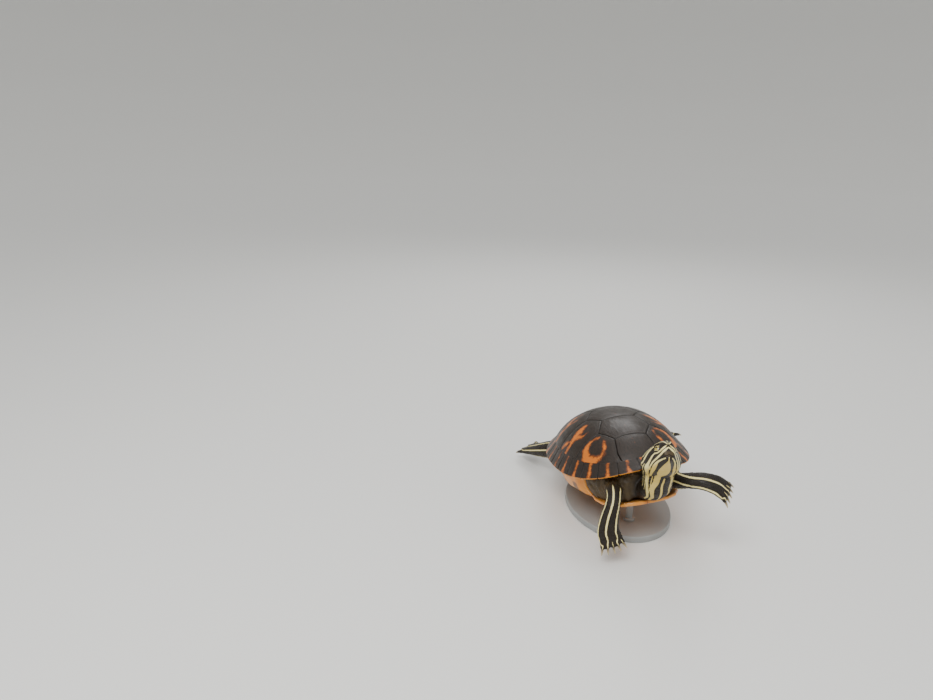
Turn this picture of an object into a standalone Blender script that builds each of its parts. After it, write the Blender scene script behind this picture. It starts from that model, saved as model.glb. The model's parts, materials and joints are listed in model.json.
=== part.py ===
"""A red-bellied cooter at life size, swimming with its head raised, on a plain display stand.

Metres, +Z up. The turtle's head points to -Y and its left side to +X. The origin is the middle of
the stand's underside. The animal is modelled level in its own frame, whose origin is the middle of
the plastron's underside, and one empty carries it at the height, pitch and roll of the swimming pose.
"""

import math

import bmesh
import bpy
from mathutils import Matrix, Vector

# Driving dimensions of the shell, from which the rest is worked out.
SHELL_LENGTH = 0.215
SHELL_WIDTH = 0.160
SHELL_HEIGHT = 0.083
OUTLINE_POWER = 2.25  # 2 is an ellipse, more is squarer
REAR_FLARE = 0.07  # how much wider the rear half of the outline is
RIM_SIDE, RIM_FRONT, RIM_REAR = 0.031, 0.049, 0.037  # height of the rim's edge
PLATE = 0.0026  # thickness of the horny and bony plates together
GAP = 0.0003  # clearance between pieces that touch

MARGINAL_RHO = 0.86  # inner edge of the marginal plates, as a share of the way out to the rim
MARGINAL_EDGE = 0.0035  # thickness of the rim's edge

# The head and its parts.
HEAD_LENGTH = 0.048
HEAD_WIDTH = 0.0390
HEAD_HEIGHT = 0.028
HEAD_CENTRE = Vector((0.0058, -0.1434, 0.0709))
HEAD_PITCH = math.radians(38.5)
HEAD_TURN = math.radians(11.0)  # to the turtle's right
EYE_RADIUS = 0.0042
EYE_ALONG, EYE_OUT, EYE_UP = 0.271, 0.0059, 0.0041
MOUTH_DROP = 0.0066  # how far the mouth's line is under the head's axis at the snout
MOUTH_BACK = 0.58  # where the jaw ends, as a share of the head's length from the snout

# The pose, and the stand.
LIFT = 0.040
PITCH = math.radians(7.5)  # nose up
ROLL = math.radians(8.0)  # left side up
BASE_LENGTH, BASE_WIDTH, BASE_THICK = 0.165, 0.120, 0.008
ROD_RADIUS = 0.004
ROD_PLACES = {"front": -0.045, "rear": 0.050}


# ---------------------------------------------------------------- scene helpers


def clear_scene():
    """Empties the scene of whatever it starts with."""
    for obj in list(bpy.data.objects):
        bpy.data.objects.remove(obj)


def collection(name, hidden=False):
    """A collection of the scene."""
    made = bpy.data.collections.new(name)
    made.hide_render = hidden
    bpy.context.scene.collection.children.link(made)
    return made


def material(name, colour, roughness, metallic=0.0):
    """A plain Principled material."""
    made = bpy.data.materials.new(name)
    made.use_nodes = True
    shader = made.node_tree.nodes["Principled BSDF"]
    shader.inputs["Base Color"].default_value = (*colour, 1.0)
    shader.inputs["Roughness"].default_value = roughness
    shader.inputs["Metallic"].default_value = metallic
    return made


def node(name, bm, mat, parent=None, cutter=False):
    """An object from a bmesh, smooth shaded, in the collection of parts or of cutters."""
    bmesh.ops.recalc_face_normals(bm, faces=bm.faces)
    mesh = bpy.data.meshes.new(name)
    bm.to_mesh(mesh)
    bm.free()
    mesh.shade_smooth()
    mesh.set_sharp_from_angle(angle=math.radians(45))
    obj = bpy.data.objects.new(name, mesh)
    (CUTTERS if cutter else PARTS).objects.link(obj)
    obj.parent = parent
    if cutter:
        obj.hide_render = True
        obj.display_type = "WIRE"
    else:
        mesh.materials.append(mat)
    return obj


def boolean(obj, other, operation):
    """A Boolean modifier between two objects."""
    modifier = obj.modifiers.new(operation.lower(), "BOOLEAN")
    modifier.operation = operation
    modifier.object = other
    modifier.solver = "EXACT"


def swollen(obj, by):
    """A cutter: a copy of an object's mesh moved outwards by a clearance."""
    bm = bmesh.new()
    bm.from_mesh(obj.data)
    bm.normal_update()
    moved = [(v, v.co + v.normal * by) for v in bm.verts]
    for v, co in moved:
        v.co = co
    return node(obj.name + "_clearance", bm, None, obj.parent, cutter=True)


# ---------------------------------------------------------------- shapes from sections


def loft(rings):
    """A closed bmesh through rings of the same number of points, capped at both ends."""
    bm = bmesh.new()
    made = [[bm.verts.new(p) for p in ring] for ring in rings]
    for a, b in zip(made, made[1:]):
        for i in range(len(a)):
            j = (i + 1) % len(a)
            bm.faces.new((a[i], a[j], b[j], b[i]))
    bm.faces.new(list(reversed(made[0])))
    bm.faces.new(made[-1])
    return bm


def between(stations, count):
    """Stations (tuples of floats and Vectors) made count in number by a smooth curve through them."""
    out = []
    last = len(stations) - 1
    for n in range(count):
        t = n / (count - 1) * last
        i = min(int(t), last - 1)
        f = t - i
        four = [stations[max(0, min(last, i + k))] for k in (-1, 0, 1, 2)]
        row = []
        for a, b, c, d in zip(*four):
            row.append(
                0.5 * ((2 * b) + (c - a) * f + (2 * a - 5 * b + 4 * c - d) * f * f
                       + (3 * b - a - 3 * c + d) * f ** 3)
            )
        out.append(tuple(row))
    return out


def swept(stations, count, sides, tip_steps=2):
    """Rings of a limb. A station is (centre, half width, half thickness, normal of its flat side).

    The far end is rounded off in tip_steps more rings.
    """
    rows = between(stations, count)
    centres = [r[0] for r in rows]
    rings = []
    for i, (centre, wide, thick, normal) in enumerate(rows):
        along = (centres[min(i + 1, count - 1)] - centres[max(i - 1, 0)]).normalized()
        side = along.cross(normal).normalized()
        flat = side.cross(along).normalized()
        rings.append(ellipse(centre, side * wide, flat * thick, sides))
    reach = rows[-1][2]
    for step in range(1, tip_steps + 1):
        angle = step / (tip_steps + 0.35) * math.pi / 2
        rings.append(ellipse(centre + along * reach * math.sin(angle), side * wide * math.cos(angle) ** 0.6,
                             flat * thick * math.cos(angle), sides))
    return rings


def ellipse(centre, a, b, sides):
    """Points of an ellipse with half axes a and b."""
    turn = 2 * math.pi / sides
    return [centre + a * math.cos(i * turn) + b * math.sin(i * turn) for i in range(sides)]


# ---------------------------------------------------------------- the shell's surface


def signed_power(value, power):
    """value to a power, keeping its sign."""
    return math.copysign(abs(value) ** power, value)


def plan_to_unit(x, y):
    """(p, q, rho): a plan point as shares of the outline, and its share of the way out to the rim."""
    q = y / (SHELL_LENGTH / 2)
    p = x / (SHELL_WIDTH / 2 * (1 + REAR_FLARE * q) / (1 + REAR_FLARE * 0.2))
    rho = (abs(p) ** OUTLINE_POWER + abs(q) ** OUTLINE_POWER) ** (1 / OUTLINE_POWER)
    return p, q, rho


def unit_to_plan(rho, turn):
    """Plan point at a share rho of the way to the rim. turn is 0 at the front and pi at the rear."""
    q = -rho * signed_power(math.cos(turn), 2 / OUTLINE_POWER)
    p = rho * signed_power(math.sin(turn), 2 / OUTLINE_POWER)
    wide = SHELL_WIDTH / 2 * (1 + REAR_FLARE * q) / (1 + REAR_FLARE * 0.2)
    return p * wide, q * SHELL_LENGTH / 2


def rim_height(p, q):
    """Height of the rim's edge, lowest at the bridges and highest over the neck."""
    size = math.hypot(p, q) or 1.0
    front, rear = max(0.0, -q / size), max(0.0, q / size)
    return RIM_SIDE + (RIM_FRONT - RIM_SIDE) * front ** 3 + (RIM_REAR - RIM_SIDE) * rear ** 3


def carapace_height(x, y):
    """Height of the carapace's outer surface over a plan point."""
    p, q, rho = plan_to_unit(x, y)
    side = (p * p) / (p * p + q * q or 1.0)
    at_marginal = 0.84 - 0.12 * side  # how much of the drop lies inside the marginal plates
    inner = min(1.0, rho / MARGINAL_RHO)
    arch = (1 - math.sqrt(1 - (0.95 * inner) ** 2)) / (1 - math.sqrt(1 - 0.95 ** 2))
    drop = at_marginal * (0.5 * inner ** 2.3 + 0.5 * arch)
    if rho > MARGINAL_RHO:
        drop += (1 - at_marginal) * (rho - MARGINAL_RHO) / (1 - MARGINAL_RHO)
    return SHELL_HEIGHT - (SHELL_HEIGHT - rim_height(p, q)) * drop


def on_carapace(rho, turn):
    """Point of the carapace at a share rho of the way out to the rim."""
    x, y = unit_to_plan(rho, turn)
    return Vector((x, y, carapace_height(x, y)))


# ---------------------------------------------------------------- the shell's plates

# Corners of the plates on the left half, as (share of the half width, share of the length).
# Shares of the length run from 0 at the front of the rim to 1 at the rear.
VERTEBRAL_SEAMS = (0.045, 0.215, 0.405, 0.600, 0.785, 0.965)
SEAM_HALF_WIDTHS = (0.34, 0.25, 0.24, 0.23, 0.20, 0.42)
POINT_PLACES = (0.130, 0.310, 0.500, 0.692)
POINT_HALF_WIDTHS = (0.33, 0.39, 0.40, 0.36)
COSTAL_SEAMS = (0.300, 0.515, 0.735)  # where the seams between costal plates reach the marginal plates
OVERSHOOT = 1.25  # the costal plates' prisms run out past the dome, to this share of the rim


def half_width(share):
    """Half width of the outline at a share of the length."""
    q = 2 * share - 1
    wide = SHELL_WIDTH / 2 * (1 + REAR_FLARE * q) / (1 + REAR_FLARE * 0.2)
    return wide * max(0.0, 1 - abs(q) ** OUTLINE_POWER) ** (1 / OUTLINE_POWER)


def plan(share_out, share_along):
    """Plan point from a share of the half width and of the length."""
    wide = SHELL_WIDTH / 2 * math.sqrt(max(0.0, 1 - (1.55 * (share_along - 0.5)) ** 2))
    return Vector((share_out * wide, (share_along - 0.5) * SHELL_LENGTH, 0.0))


def vertebral_outline(index):
    """Corners of a vertebral plate, right side and left."""
    front, rear = VERTEBRAL_SEAMS[index], VERTEBRAL_SEAMS[index + 1]
    half = [plan(SEAM_HALF_WIDTHS[index], front)]
    if index < 4:
        half.append(plan(POINT_HALF_WIDTHS[index], POINT_PLACES[index]))
    half.append(plan(SEAM_HALF_WIDTHS[index + 1], rear))
    mirrored = [Vector((-p.x, p.y, 0.0)) for p in reversed(half)]
    return half + mirrored


def costal_outline(index):
    """Corners of a costal plate of the left side, from its outer front corner round to its outer rear."""
    inner = [plan(POINT_HALF_WIDTHS[index], POINT_PLACES[index])]
    inner.append(plan(SEAM_HALF_WIDTHS[index + 1], VERTEBRAL_SEAMS[index + 1]))
    if index == 0:
        first = plan(SEAM_HALF_WIDTHS[0], VERTEBRAL_SEAMS[0])
        ahead = -OVERSHOOT * SHELL_LENGTH / 2
        front = [Vector((OVERSHOOT * SHELL_WIDTH / 2, ahead, 0)), Vector((first.x / 2, ahead, 0)), first]
    else:
        front = [plan(OVERSHOOT, COSTAL_SEAMS[index - 1])]
    if index < 3:
        inner.append(plan(POINT_HALF_WIDTHS[index + 1], POINT_PLACES[index + 1]))
        rear = [plan(OVERSHOOT, COSTAL_SEAMS[index])]
    else:
        last = plan(SEAM_HALF_WIDTHS[5], VERTEBRAL_SEAMS[5])
        rear = [last, Vector((OVERSHOOT * SHELL_WIDTH / 2, OVERSHOOT * SHELL_LENGTH / 2, 0))]
    return front + inner + rear


def shrunk(corners, by):
    """A plan polygon with each side moved inwards by a distance."""
    area = sum(a.x * b.y - b.x * a.y for a, b in zip(corners, corners[1:] + corners[:1]))
    if area < 0:
        corners = corners[::-1]
    out = []
    for i, corner in enumerate(corners):
        before, after = corners[i - 1], corners[(i + 1) % len(corners)]
        d1, d2 = (corner - before).normalized(), (after - corner).normalized()
        n1, n2 = Vector((-d1.y, d1.x, 0)), Vector((-d2.y, d2.x, 0))
        bisector = (n1 + n2).normalized()
        out.append(corner + bisector * by / max(0.3, bisector.dot(n1)))
    return out


def prism(name, corners, low, high, parent):
    """A cutter: a plan polygon raised from low to high."""
    rings = [[Vector((p.x, p.y, z)) for p in corners] for z in (low, high)]
    return node(name, loft(rings), None, parent, cutter=True)


def dome_bmesh(rho_out, rings, sides):
    """The carapace inside the marginal plates, as a closed cap one plate thick."""
    bm = bmesh.new()
    bmesh.ops.create_uvsphere(bm, u_segments=sides, v_segments=2 * rings, radius=1.0)
    low = [v for v in bm.verts if v.co.z < -0.01]
    bmesh.ops.delete(bm, geom=low, context="VERTS")
    for v in bm.verts:
        polar = math.acos(max(-1.0, min(1.0, v.co.z))) / (math.pi / 2)
        turn = math.atan2(v.co.x, -v.co.y)
        v.co = on_carapace(max(polar, 1e-6) * rho_out, turn)
    bmesh.ops.recalc_face_normals(bm, faces=bm.faces)
    if sum(f.normal.z for f in bm.faces) < 0:
        bmesh.ops.reverse_faces(bm, faces=bm.faces)
    return bm


def build_scutes(parent):
    """The five vertebral and eight costal plates: the domed cap, cut along the seams."""
    outlines = {f"scute_vertebral_{i + 1}": vertebral_outline(i) for i in range(5)}
    for i in range(4):
        left = costal_outline(i)
        outlines[f"scute_costal_left_{i + 1}"] = left
        outlines[f"scute_costal_right_{i + 1}"] = [Vector((-p.x, p.y, 0)) for p in left]
    for name, corners in outlines.items():
        plate = node(name, dome_bmesh(MARGINAL_RHO - 0.004, 8, 36), SHELL_DARK, parent)
        wall = plate.modifiers.new("wall", "SOLIDIFY")
        wall.thickness = PLATE
        wall.offset = -1
        seam = prism(name + "_seam", shrunk(corners, GAP / 2), -0.02, 0.12, parent)
        boolean(plate, seam, "INTERSECT")


def marginal_section(turn):
    """Section of the marginal plates at a place round the rim, as five points."""
    x, y = unit_to_plan(1.0, turn)
    p, q, _ = plan_to_unit(x, y)
    side = (p * p) / (p * p + q * q)
    inner, edge = on_carapace(MARGINAL_RHO, turn), on_carapace(1.0, turn)
    out = Vector((edge.x - inner.x, edge.y - inner.y, 0)).normalized()
    depth = 0.0045 + 0.0065 * side ** 2  # the underside dips to the bridges at the flanks
    foot_in = (0.35 + 0.55 * side ** 2) * 0.012
    foot = Vector((inner.x, inner.y, 0)) + out * (0.012 - foot_in)
    foot.z = edge.z - 0.0010 - depth * side ** 2 + (1 - side) * 0.0045
    lower_edge = edge - out * 0.0012 - Vector((0, 0, MARGINAL_EDGE * 0.75))
    under = inner - Vector((0, 0, PLATE + 0.001))
    return [inner, edge, lower_edge, foot, under]


def build_marginals(parent):
    """The ring of marginal plates, as two halves that meet at the midline."""
    steps = 30
    start = 0.004
    for name, sign in (("marginals_left", 1), ("marginals_right", -1)):
        rings = []
        for i in range(steps + 1):
            turn = start + (math.pi - 2 * start) * i / steps
            ring = [Vector((sign * p.x, p.y, p.z)) for p in marginal_section(turn)]
            if i in (0, steps):
                for p in ring:
                    p.x = sign * GAP / 2
            rings.append(ring)
        node(name, loft(rings), SHELL_DARK, parent)


# ---------------------------------------------------------------- plastron and bridges

PLASTRON_THICK = 0.0045
# (place along Y, half width) of the plastron from its front to its rear
PLASTRON_EDGE = (
    (-0.0975, 0.0150), (-0.0950, 0.0260), (-0.0880, 0.0365), (-0.0750, 0.0440), (-0.0600, 0.0475),
    (-0.0470, 0.0470), (-0.0380, 0.0505), (-0.0200, 0.0535), (0.0000, 0.0540), (0.0180, 0.0525),
    (0.0340, 0.0490), (0.0440, 0.0455), (0.0580, 0.0450), (0.0730, 0.0400), (0.0860, 0.0310),
    (0.0930, 0.0215),
)
BRIDGE_FRONT, BRIDGE_REAR = -0.046, 0.042


def plastron_rise(y):
    """How far the lobes of the plastron curve up at the front and the rear."""
    front, rear = max(0.0, -y - 0.055), max(0.0, y - 0.060)
    return 2.4 * front ** 2 + 1.6 * rear ** 2


def plastron_half_width(y):
    """Half width of the plastron at a place along Y."""
    for (y0, w0), (y1, w1) in zip(PLASTRON_EDGE, PLASTRON_EDGE[1:]):
        if y <= y1:
            return w0 + (w1 - w0) * (y - y0) / (y1 - y0)
    return PLASTRON_EDGE[-1][1]


def build_plastron(parent):
    """The belly plate, with its anal notch."""
    rings = []
    for y, wide in PLASTRON_EDGE:
        z, t = plastron_rise(y), PLASTRON_THICK
        half = [(0.0, z), (wide * 0.55, z), (wide - 0.0025, z + 0.0003), (wide, z + t * 0.45),
                (wide - 0.0015, z + t), (wide * 0.55, z + t), (0.0, z + t)]
        right = [Vector((-x, y, h)) for x, h in reversed(half[1:-1])]
        rings.append([Vector((x, y, h)) for x, h in half] + right)
    plate = node("plastron", loft(rings), PLASTRON_ORANGE, parent)
    notch = [Vector((0, 0.083, 0)), Vector((0.016, 0.103, 0)), Vector((-0.016, 0.103, 0))]
    boolean(plate, prism("anal_notch", notch, -0.01, 0.03, parent), "DIFFERENCE")


def bridge_section(y):
    """Section of a bridge on the left, as six points, from the plastron's side to the marginals."""
    share = (y - BRIDGE_FRONT) / (BRIDGE_REAR - BRIDGE_FRONT)
    tuck = 0.005 * (2 * share - 1) ** 4  # the ends turn in, as buttresses
    x_low = plastron_half_width(y) + GAP
    marginal = marginal_section(math.acos(max(-1, min(1, -y / (SHELL_LENGTH / 2)))))
    foot = marginal[3]
    top = Vector((foot.x - 0.0006 - tuck, y, foot.z - 0.0006))
    low = Vector((x_low, y, 0.0012))
    middle = (top + low) / 2 + Vector((0.0030 - tuck * 0.3, 0, -0.0030))
    inward = Vector((-0.0040, 0, 0.0012))
    return [low, middle, top, top + inward, middle + inward, Vector((x_low, y, 0.0046))]


def build_bridges(parent):
    """The two walls that join the plastron to the marginal plates."""
    for name, sign in (("bridge_left", 1), ("bridge_right", -1)):
        rings = []
        for i in range(11):
            y = BRIDGE_FRONT + (BRIDGE_REAR - BRIDGE_FRONT) * i / 10
            rings.append([Vector((sign * p.x, p.y, p.z)) for p in bridge_section(y)])
        node(name, loft(rings), PLASTRON_ORANGE, parent)


# ---------------------------------------------------------------- trunk and neck

TRUNK_FRONT, TRUNK_REAR = -0.096, 0.097


def trunk_section(y, sides=18):
    """Section of the soft body between the plates at a place along Y."""
    share = (y - TRUNK_FRONT) / (TRUNK_REAR - TRUNK_FRONT)
    end = (1 - abs(2 * share - 1) ** 5) ** 0.5 if 0 < share < 1 else 0.0
    beyond = max(0.0, abs(y + 0.002) - 0.046)  # the body widens beyond the ends of the bridges
    limit = min(0.0515 + 0.9 * beyond, 0.0580)
    wide = min(half_width(y / SHELL_LENGTH + 0.5) * (MARGINAL_RHO - 0.04), limit) * (0.55 + 0.45 * end)
    floor = plastron_rise(y) + PLASTRON_THICK + 2 * GAP
    roof_drop = PLATE + 0.0016 + (1 - end) * 0.012
    points = []
    for i in range(sides):
        angle = 2 * math.pi * i / sides
        x = wide * signed_power(math.cos(angle), 0.75)
        roof = carapace_height(x, y) - roof_drop
        side_level = 0.55 * floor + 0.45 * carapace_height(wide, y) - 0.002
        rise = abs(math.sin(angle)) ** 0.75
        if math.sin(angle) >= 0:
            z = side_level + (min(roof, SHELL_HEIGHT) - side_level) * rise
        else:
            z = side_level + (floor + (1 - end) * 0.004 - side_level) * rise
        points.append(Vector((x, y, z)))
    return points


def build_trunk(parent):
    """The soft body, which shows as loose skin round the neck, the legs and the tail."""
    places = [TRUNK_FRONT, -0.094, -0.090, -0.083, -0.072, -0.058, -0.036, -0.012, 0.012, 0.036, 0.058,
              0.074, 0.086, 0.093, TRUNK_REAR]
    return node("trunk", loft([trunk_section(y) for y in places]), SKIN_DARK, parent)


def head_frame():
    """Matrix of the head: its own -Y runs to the snout, and it stays level while the body banks."""
    level = Matrix.Rotation(PITCH, 4, "X") @ Matrix.Rotation(ROLL, 4, "Y")
    return Matrix.Translation(HEAD_CENTRE) @ level @ Matrix.Rotation(-HEAD_TURN, 4, "Z") @ Matrix.Rotation(
        -HEAD_PITCH - PITCH, 4, "X")


def neck_stations():
    """Stations of the neck, from inside the trunk to the back of the head."""
    back = head_frame() @ Vector((0, HEAD_LENGTH * 0.43, 0))
    inside = head_frame() @ Vector((0, HEAD_LENGTH * 0.20, 0))
    up = Vector((0, 0, 1))
    tilted = head_frame().to_3x3() @ Vector((0, 0, 1))
    return [
        (Vector((0.001, -0.068, 0.0235)), 0.0178, 0.0130, up),
        (Vector((0.004, -0.093, 0.0212)), 0.0162, 0.0122, up),
        (Vector((0.0065, -0.1135, 0.0310)), 0.0150, 0.0138, (up + tilted).normalized()),
        (back, 0.0164, 0.0138, tilted),
        (inside, 0.0172, 0.0136, tilted),
    ]


# ---------------------------------------------------------------- head

# (share of the length from the snout, half width, height over the axis, depth under it)
HEAD_SECTIONS = (
    (0.000, 0.075, 0.150, 0.230), (0.012, 0.118, 0.240, 0.330), (0.050, 0.160, 0.320, 0.390),
    (0.130, 0.205, 0.410, 0.420), (0.230, 0.255, 0.470, 0.435), (0.340, 0.315, 0.505, 0.445),
    (0.460, 0.388, 0.520, 0.460), (0.600, 0.462, 0.525, 0.480), (0.740, 0.500, 0.520, 0.490),
    (0.870, 0.490, 0.500, 0.490), (0.960, 0.460, 0.475, 0.475),
)


def head_ring(along, wide, over, under, sides=20):
    """Ring of the head in its own frame: flat on top, full in the cheeks."""
    y = (along - 0.5) * HEAD_LENGTH
    points = []
    for i in range(sides):
        angle = 2 * math.pi * (i + 0.5) / sides
        c, s = math.cos(angle), math.sin(angle)
        high = (over if s > 0 else under) * HEAD_HEIGHT
        x = wide * HEAD_WIDTH * signed_power(c, 0.85)
        points.append(Vector((x, y, high * signed_power(s, 0.86))))
    return points


def head_box(name, low, high, tilt, parent):
    """A cutter box in the head's frame, tilted about X at its lower front edge."""
    bm = bmesh.new()
    bmesh.ops.create_cube(bm, size=1.0)
    size = high - low
    for v in bm.verts:
        v.co = Vector((v.co.x * size.x, v.co.y * size.y, v.co.z * size.z)) + (low + high) / 2
    pivot = Vector((0, -HEAD_LENGTH / 2, -MOUTH_DROP))
    turn = Matrix.Translation(pivot) @ Matrix.Rotation(tilt, 4, "X") @ Matrix.Translation(-pivot)
    bm.transform(head_frame() @ turn)
    return node(name, bm, None, parent, cutter=True)


def build_head(parent):
    """The head with its upper beak, the lower jaw and the eyes."""
    rings = [[head_frame() @ p for p in head_ring(*s)] for s in HEAD_SECTIONS]
    reach, back = HEAD_LENGTH, (MOUTH_BACK - 0.5) * HEAD_LENGTH
    mouth_tilt = math.radians(-7)
    jaw_low = Vector((-0.03, -reach, -0.04))
    wide_box = head_box("mouth_clearance", jaw_low, Vector((0.03, back + GAP, -MOUTH_DROP)), mouth_tilt, parent)
    jaw_box = head_box("jaw_block", jaw_low, Vector((0.03, back, -MOUTH_DROP - GAP)), mouth_tilt, parent)
    head = node("head", loft(rings), SKIN_DARK, parent)
    boolean(head, wide_box, "DIFFERENCE")
    jaw = node("jaw", loft(rings), SKIN_DARK, parent)
    boolean(jaw, jaw_box, "INTERSECT")
    for name, sign in (("eye_left", 1), ("eye_right", -1)):
        place = Vector((sign * EYE_OUT, (EYE_ALONG - 0.5) * HEAD_LENGTH, EYE_UP))
        for radius, cutter in ((EYE_RADIUS, False), (EYE_RADIUS + GAP, True)):
            bm = bmesh.new()
            bmesh.ops.create_uvsphere(bm, u_segments=10, v_segments=7, radius=radius)
            bm.transform(head_frame() @ Matrix.Translation(place))
            ball = node(name + ("_socket" if cutter else ""), bm, EYE_YELLOW, parent, cutter)
            if cutter:
                boolean(head, ball, "DIFFERENCE")
    return head


# ---------------------------------------------------------------- legs

FORE_DIGITS = ((-19, 0.80), (-9, 0.97), (0, 1.05), (10, 1.00), (20, 0.82))
HIND_DIGITS = ((-20, 0.88), (-7, 1.05), (7, 1.05), (22, 0.90))


def digit_rings(root, along, normal, length, claw, radius):
    """Rings of one digit and its claw, which curves down from the flat side's normal."""
    start = root - along * radius * 2.4
    knuckle = root + along * length * 0.55
    end = root + along * length
    tip_base = end + along * claw * 0.15
    middle = end + along * claw * 0.6 - normal * claw * 0.05
    tip = end + along * claw - normal * claw * 0.22
    side = along.cross(normal).normalized()
    spans = ((start, 0.8), (root, 1.0), (knuckle, 0.98), (end, 0.80), (tip_base, 0.48), (middle, 0.34),
             (tip, 0.12))
    return [ellipse(c, side * radius * s, normal * radius * s * 0.85, 6) for c, s in spans]


def add_digits(sole, palm_end, toes, digits, digit_length, claw, radius):
    """Joins the digits and their claws to a foot.

    palm_end is the last station of the palm and toes is (direction, normal) there.
    """
    along, normal = toes[0].normalized(), toes[1].normalized()
    side = along.cross(normal).normalized()
    normal = side.cross(along).normalized()
    end, half = palm_end[0], palm_end[1]
    spread = math.sin(math.radians(digits[-1][0]))
    for index, (angle, share) in enumerate(digits):
        turn = math.radians(angle)
        heading = along * math.cos(turn) + side * math.sin(turn)
        root = end + side * half * 0.80 * math.sin(turn) / spread - along * 0.0010
        rings = digit_rings(root, heading, normal, digit_length * share, claw, radius)
        digit = node(f"{sole.name}_digit_{index + 1}", loft(rings), None, sole.parent, cutter=True)
        boolean(sole, digit, "UNION")


def parted(rings, joints):
    """Rings of a limb cut into lengths at the joints (ring numbers), with a clearance at each."""
    centres = [sum(ring, Vector()) / len(ring) for ring in rings]
    lengths = []
    start = 0
    for joint in (*joints, len(rings) - 1):
        length = list(rings[start:joint + 1])
        if start:
            step = (centres[start + 1] - centres[start - 1]).normalized() * GAP / 2
            length[0] = [p + step for p in length[0]]
        if joint < len(rings) - 1:
            step = (centres[joint + 1] - centres[joint - 1]).normalized() * GAP / 2
            length[-1] = [p - step for p in length[-1]]
        lengths.append(length)
        start = joint
    return lengths


def build_leg(side, kind, stations, palm_end, toe_direction, toe_normal, parent, trunk_cut):
    """One leg with its foot. The leg's stations run from inside the trunk to the wrist or ankle."""
    fore = kind == "fore"
    wrist, wide, thick, normal = stations[-1]
    splay = 1.12 if fore else 1.25
    palm = [
        (wrist.lerp(palm_end, 0.5), wide * splay ** 0.5, thick * 0.80, (normal + toe_normal).normalized()),
        (palm_end, wide * splay, thick * 0.52, toe_normal),
    ]
    steps = 2 * (len(stations) + 1) + 1
    rings = swept([*stations, *palm], steps, 12)
    upper, lower, foot_rings = parted(rings, (4, steps - 5))
    names = ("foreleg", "forearm") if fore else ("thigh", "shank")
    first = node(f"{names[0]}_{side}", loft(upper), SKIN_DARK, parent)
    boolean(first, trunk_cut, "DIFFERENCE")
    node(f"{names[1]}_{side}", loft(lower), SKIN_DARK, parent)
    digits = FORE_DIGITS if fore else HIND_DIGITS
    sizes = (0.0050, 0.0078, 0.0028) if fore else (0.0095, 0.0065, 0.0034)
    sole = node(f"{kind}foot_{side}", loft(foot_rings), SKIN_DARK, parent)
    add_digits(sole, palm[-1], (toe_direction, toe_normal), digits, *sizes)


def build_legs(parent, trunk_cut):
    """The four legs, each in its own moment of a paddling stroke."""
    ahead, up = Vector((0, -1, 0)), Vector((0, 0, 1))
    build_leg("right", "fore", [
        (Vector((-0.028, -0.070, 0.0235)), 0.0105, 0.0095, up),
        (Vector((-0.0350, -0.098, 0.0240)), 0.0086, 0.0086, Vector((0, -0.45, 0.90)).normalized()),
        (Vector((-0.0405, -0.1090, 0.0175)), 0.0080, 0.0080, Vector((0, -0.9, 0.45)).normalized()),
        (Vector((-0.0470, -0.1130, 0.0035)), 0.0098, 0.0066, Vector((-0.1, -1, 0.2)).normalized()),
        (Vector((-0.0508, -0.1165, -0.0090)), 0.0116, 0.0052, Vector((-0.1, -1, 0.25)).normalized()),
    ], Vector((-0.0492, -0.1208, -0.0210)), Vector((0.14, -0.22, -0.96)), Vector((-0.1, -0.97, 0.22)),
        parent, trunk_cut)
    build_leg("left", "fore", [
        (Vector((0.028, -0.070, 0.0245)), 0.0105, 0.0095, up),
        (Vector((0.0340, -0.100, 0.0260)), 0.0088, 0.0088, Vector((0.1, -0.4, 0.9)).normalized()),
        (Vector((0.0410, -0.1150, 0.0300)), 0.0084, 0.0078, Vector((0.2, -0.75, 0.62)).normalized()),
        (Vector((0.0530, -0.1245, 0.0305)), 0.0096, 0.0064, Vector((0.15, -0.78, 0.60)).normalized()),
        (Vector((0.0640, -0.1290, 0.0262)), 0.0112, 0.0052, Vector((0.2, -0.76, 0.62)).normalized()),
    ], Vector((0.0735, -0.1305, 0.0180)), Vector((0.62, 0.00, -0.78)), Vector((0.46, -0.75, 0.44)),
        parent, trunk_cut)
    build_leg("right", "hind", [
        (Vector((-0.026, 0.052, 0.0190)), 0.0165, 0.0105, up),
        (Vector((-0.045, 0.072, 0.0190)), 0.0162, 0.0112, up),
        (Vector((-0.0590, 0.089, 0.0165)), 0.0145, 0.0108, Vector((-0.2, 0, 1)).normalized()),
        (Vector((-0.0690, 0.1050, 0.0130)), 0.0125, 0.0088, Vector((-0.3, 0.1, 1)).normalized()),
        (Vector((-0.0755, 0.1200, 0.0100)), 0.0120, 0.0064, Vector((-0.3, 0.1, 1)).normalized()),
    ], Vector((-0.0815, 0.1385, 0.0068)), Vector((-0.28, 0.95, -0.16)), Vector((-0.25, 0.12, 0.95)),
        parent, trunk_cut)
    build_leg("left", "hind", [
        (Vector((0.026, 0.052, 0.0190)), 0.0165, 0.0105, up),
        (Vector((0.0470, 0.069, 0.0185)), 0.0160, 0.0112, up),
        (Vector((0.0650, 0.083, 0.0145)), 0.0145, 0.0108, Vector((0.2, 0, 1)).normalized()),
        (Vector((0.0800, 0.0940, 0.0100)), 0.0125, 0.0088, Vector((0.2, 0.1, 1)).normalized()),
        (Vector((0.0920, 0.1050, 0.0060)), 0.0120, 0.0064, Vector((0.2, 0.15, 1)).normalized()),
    ], Vector((0.1055, 0.1182, 0.0014)), Vector((0.70, 0.68, -0.22)), Vector((0.25, 0.15, 0.95)),
        parent, trunk_cut)


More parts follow.
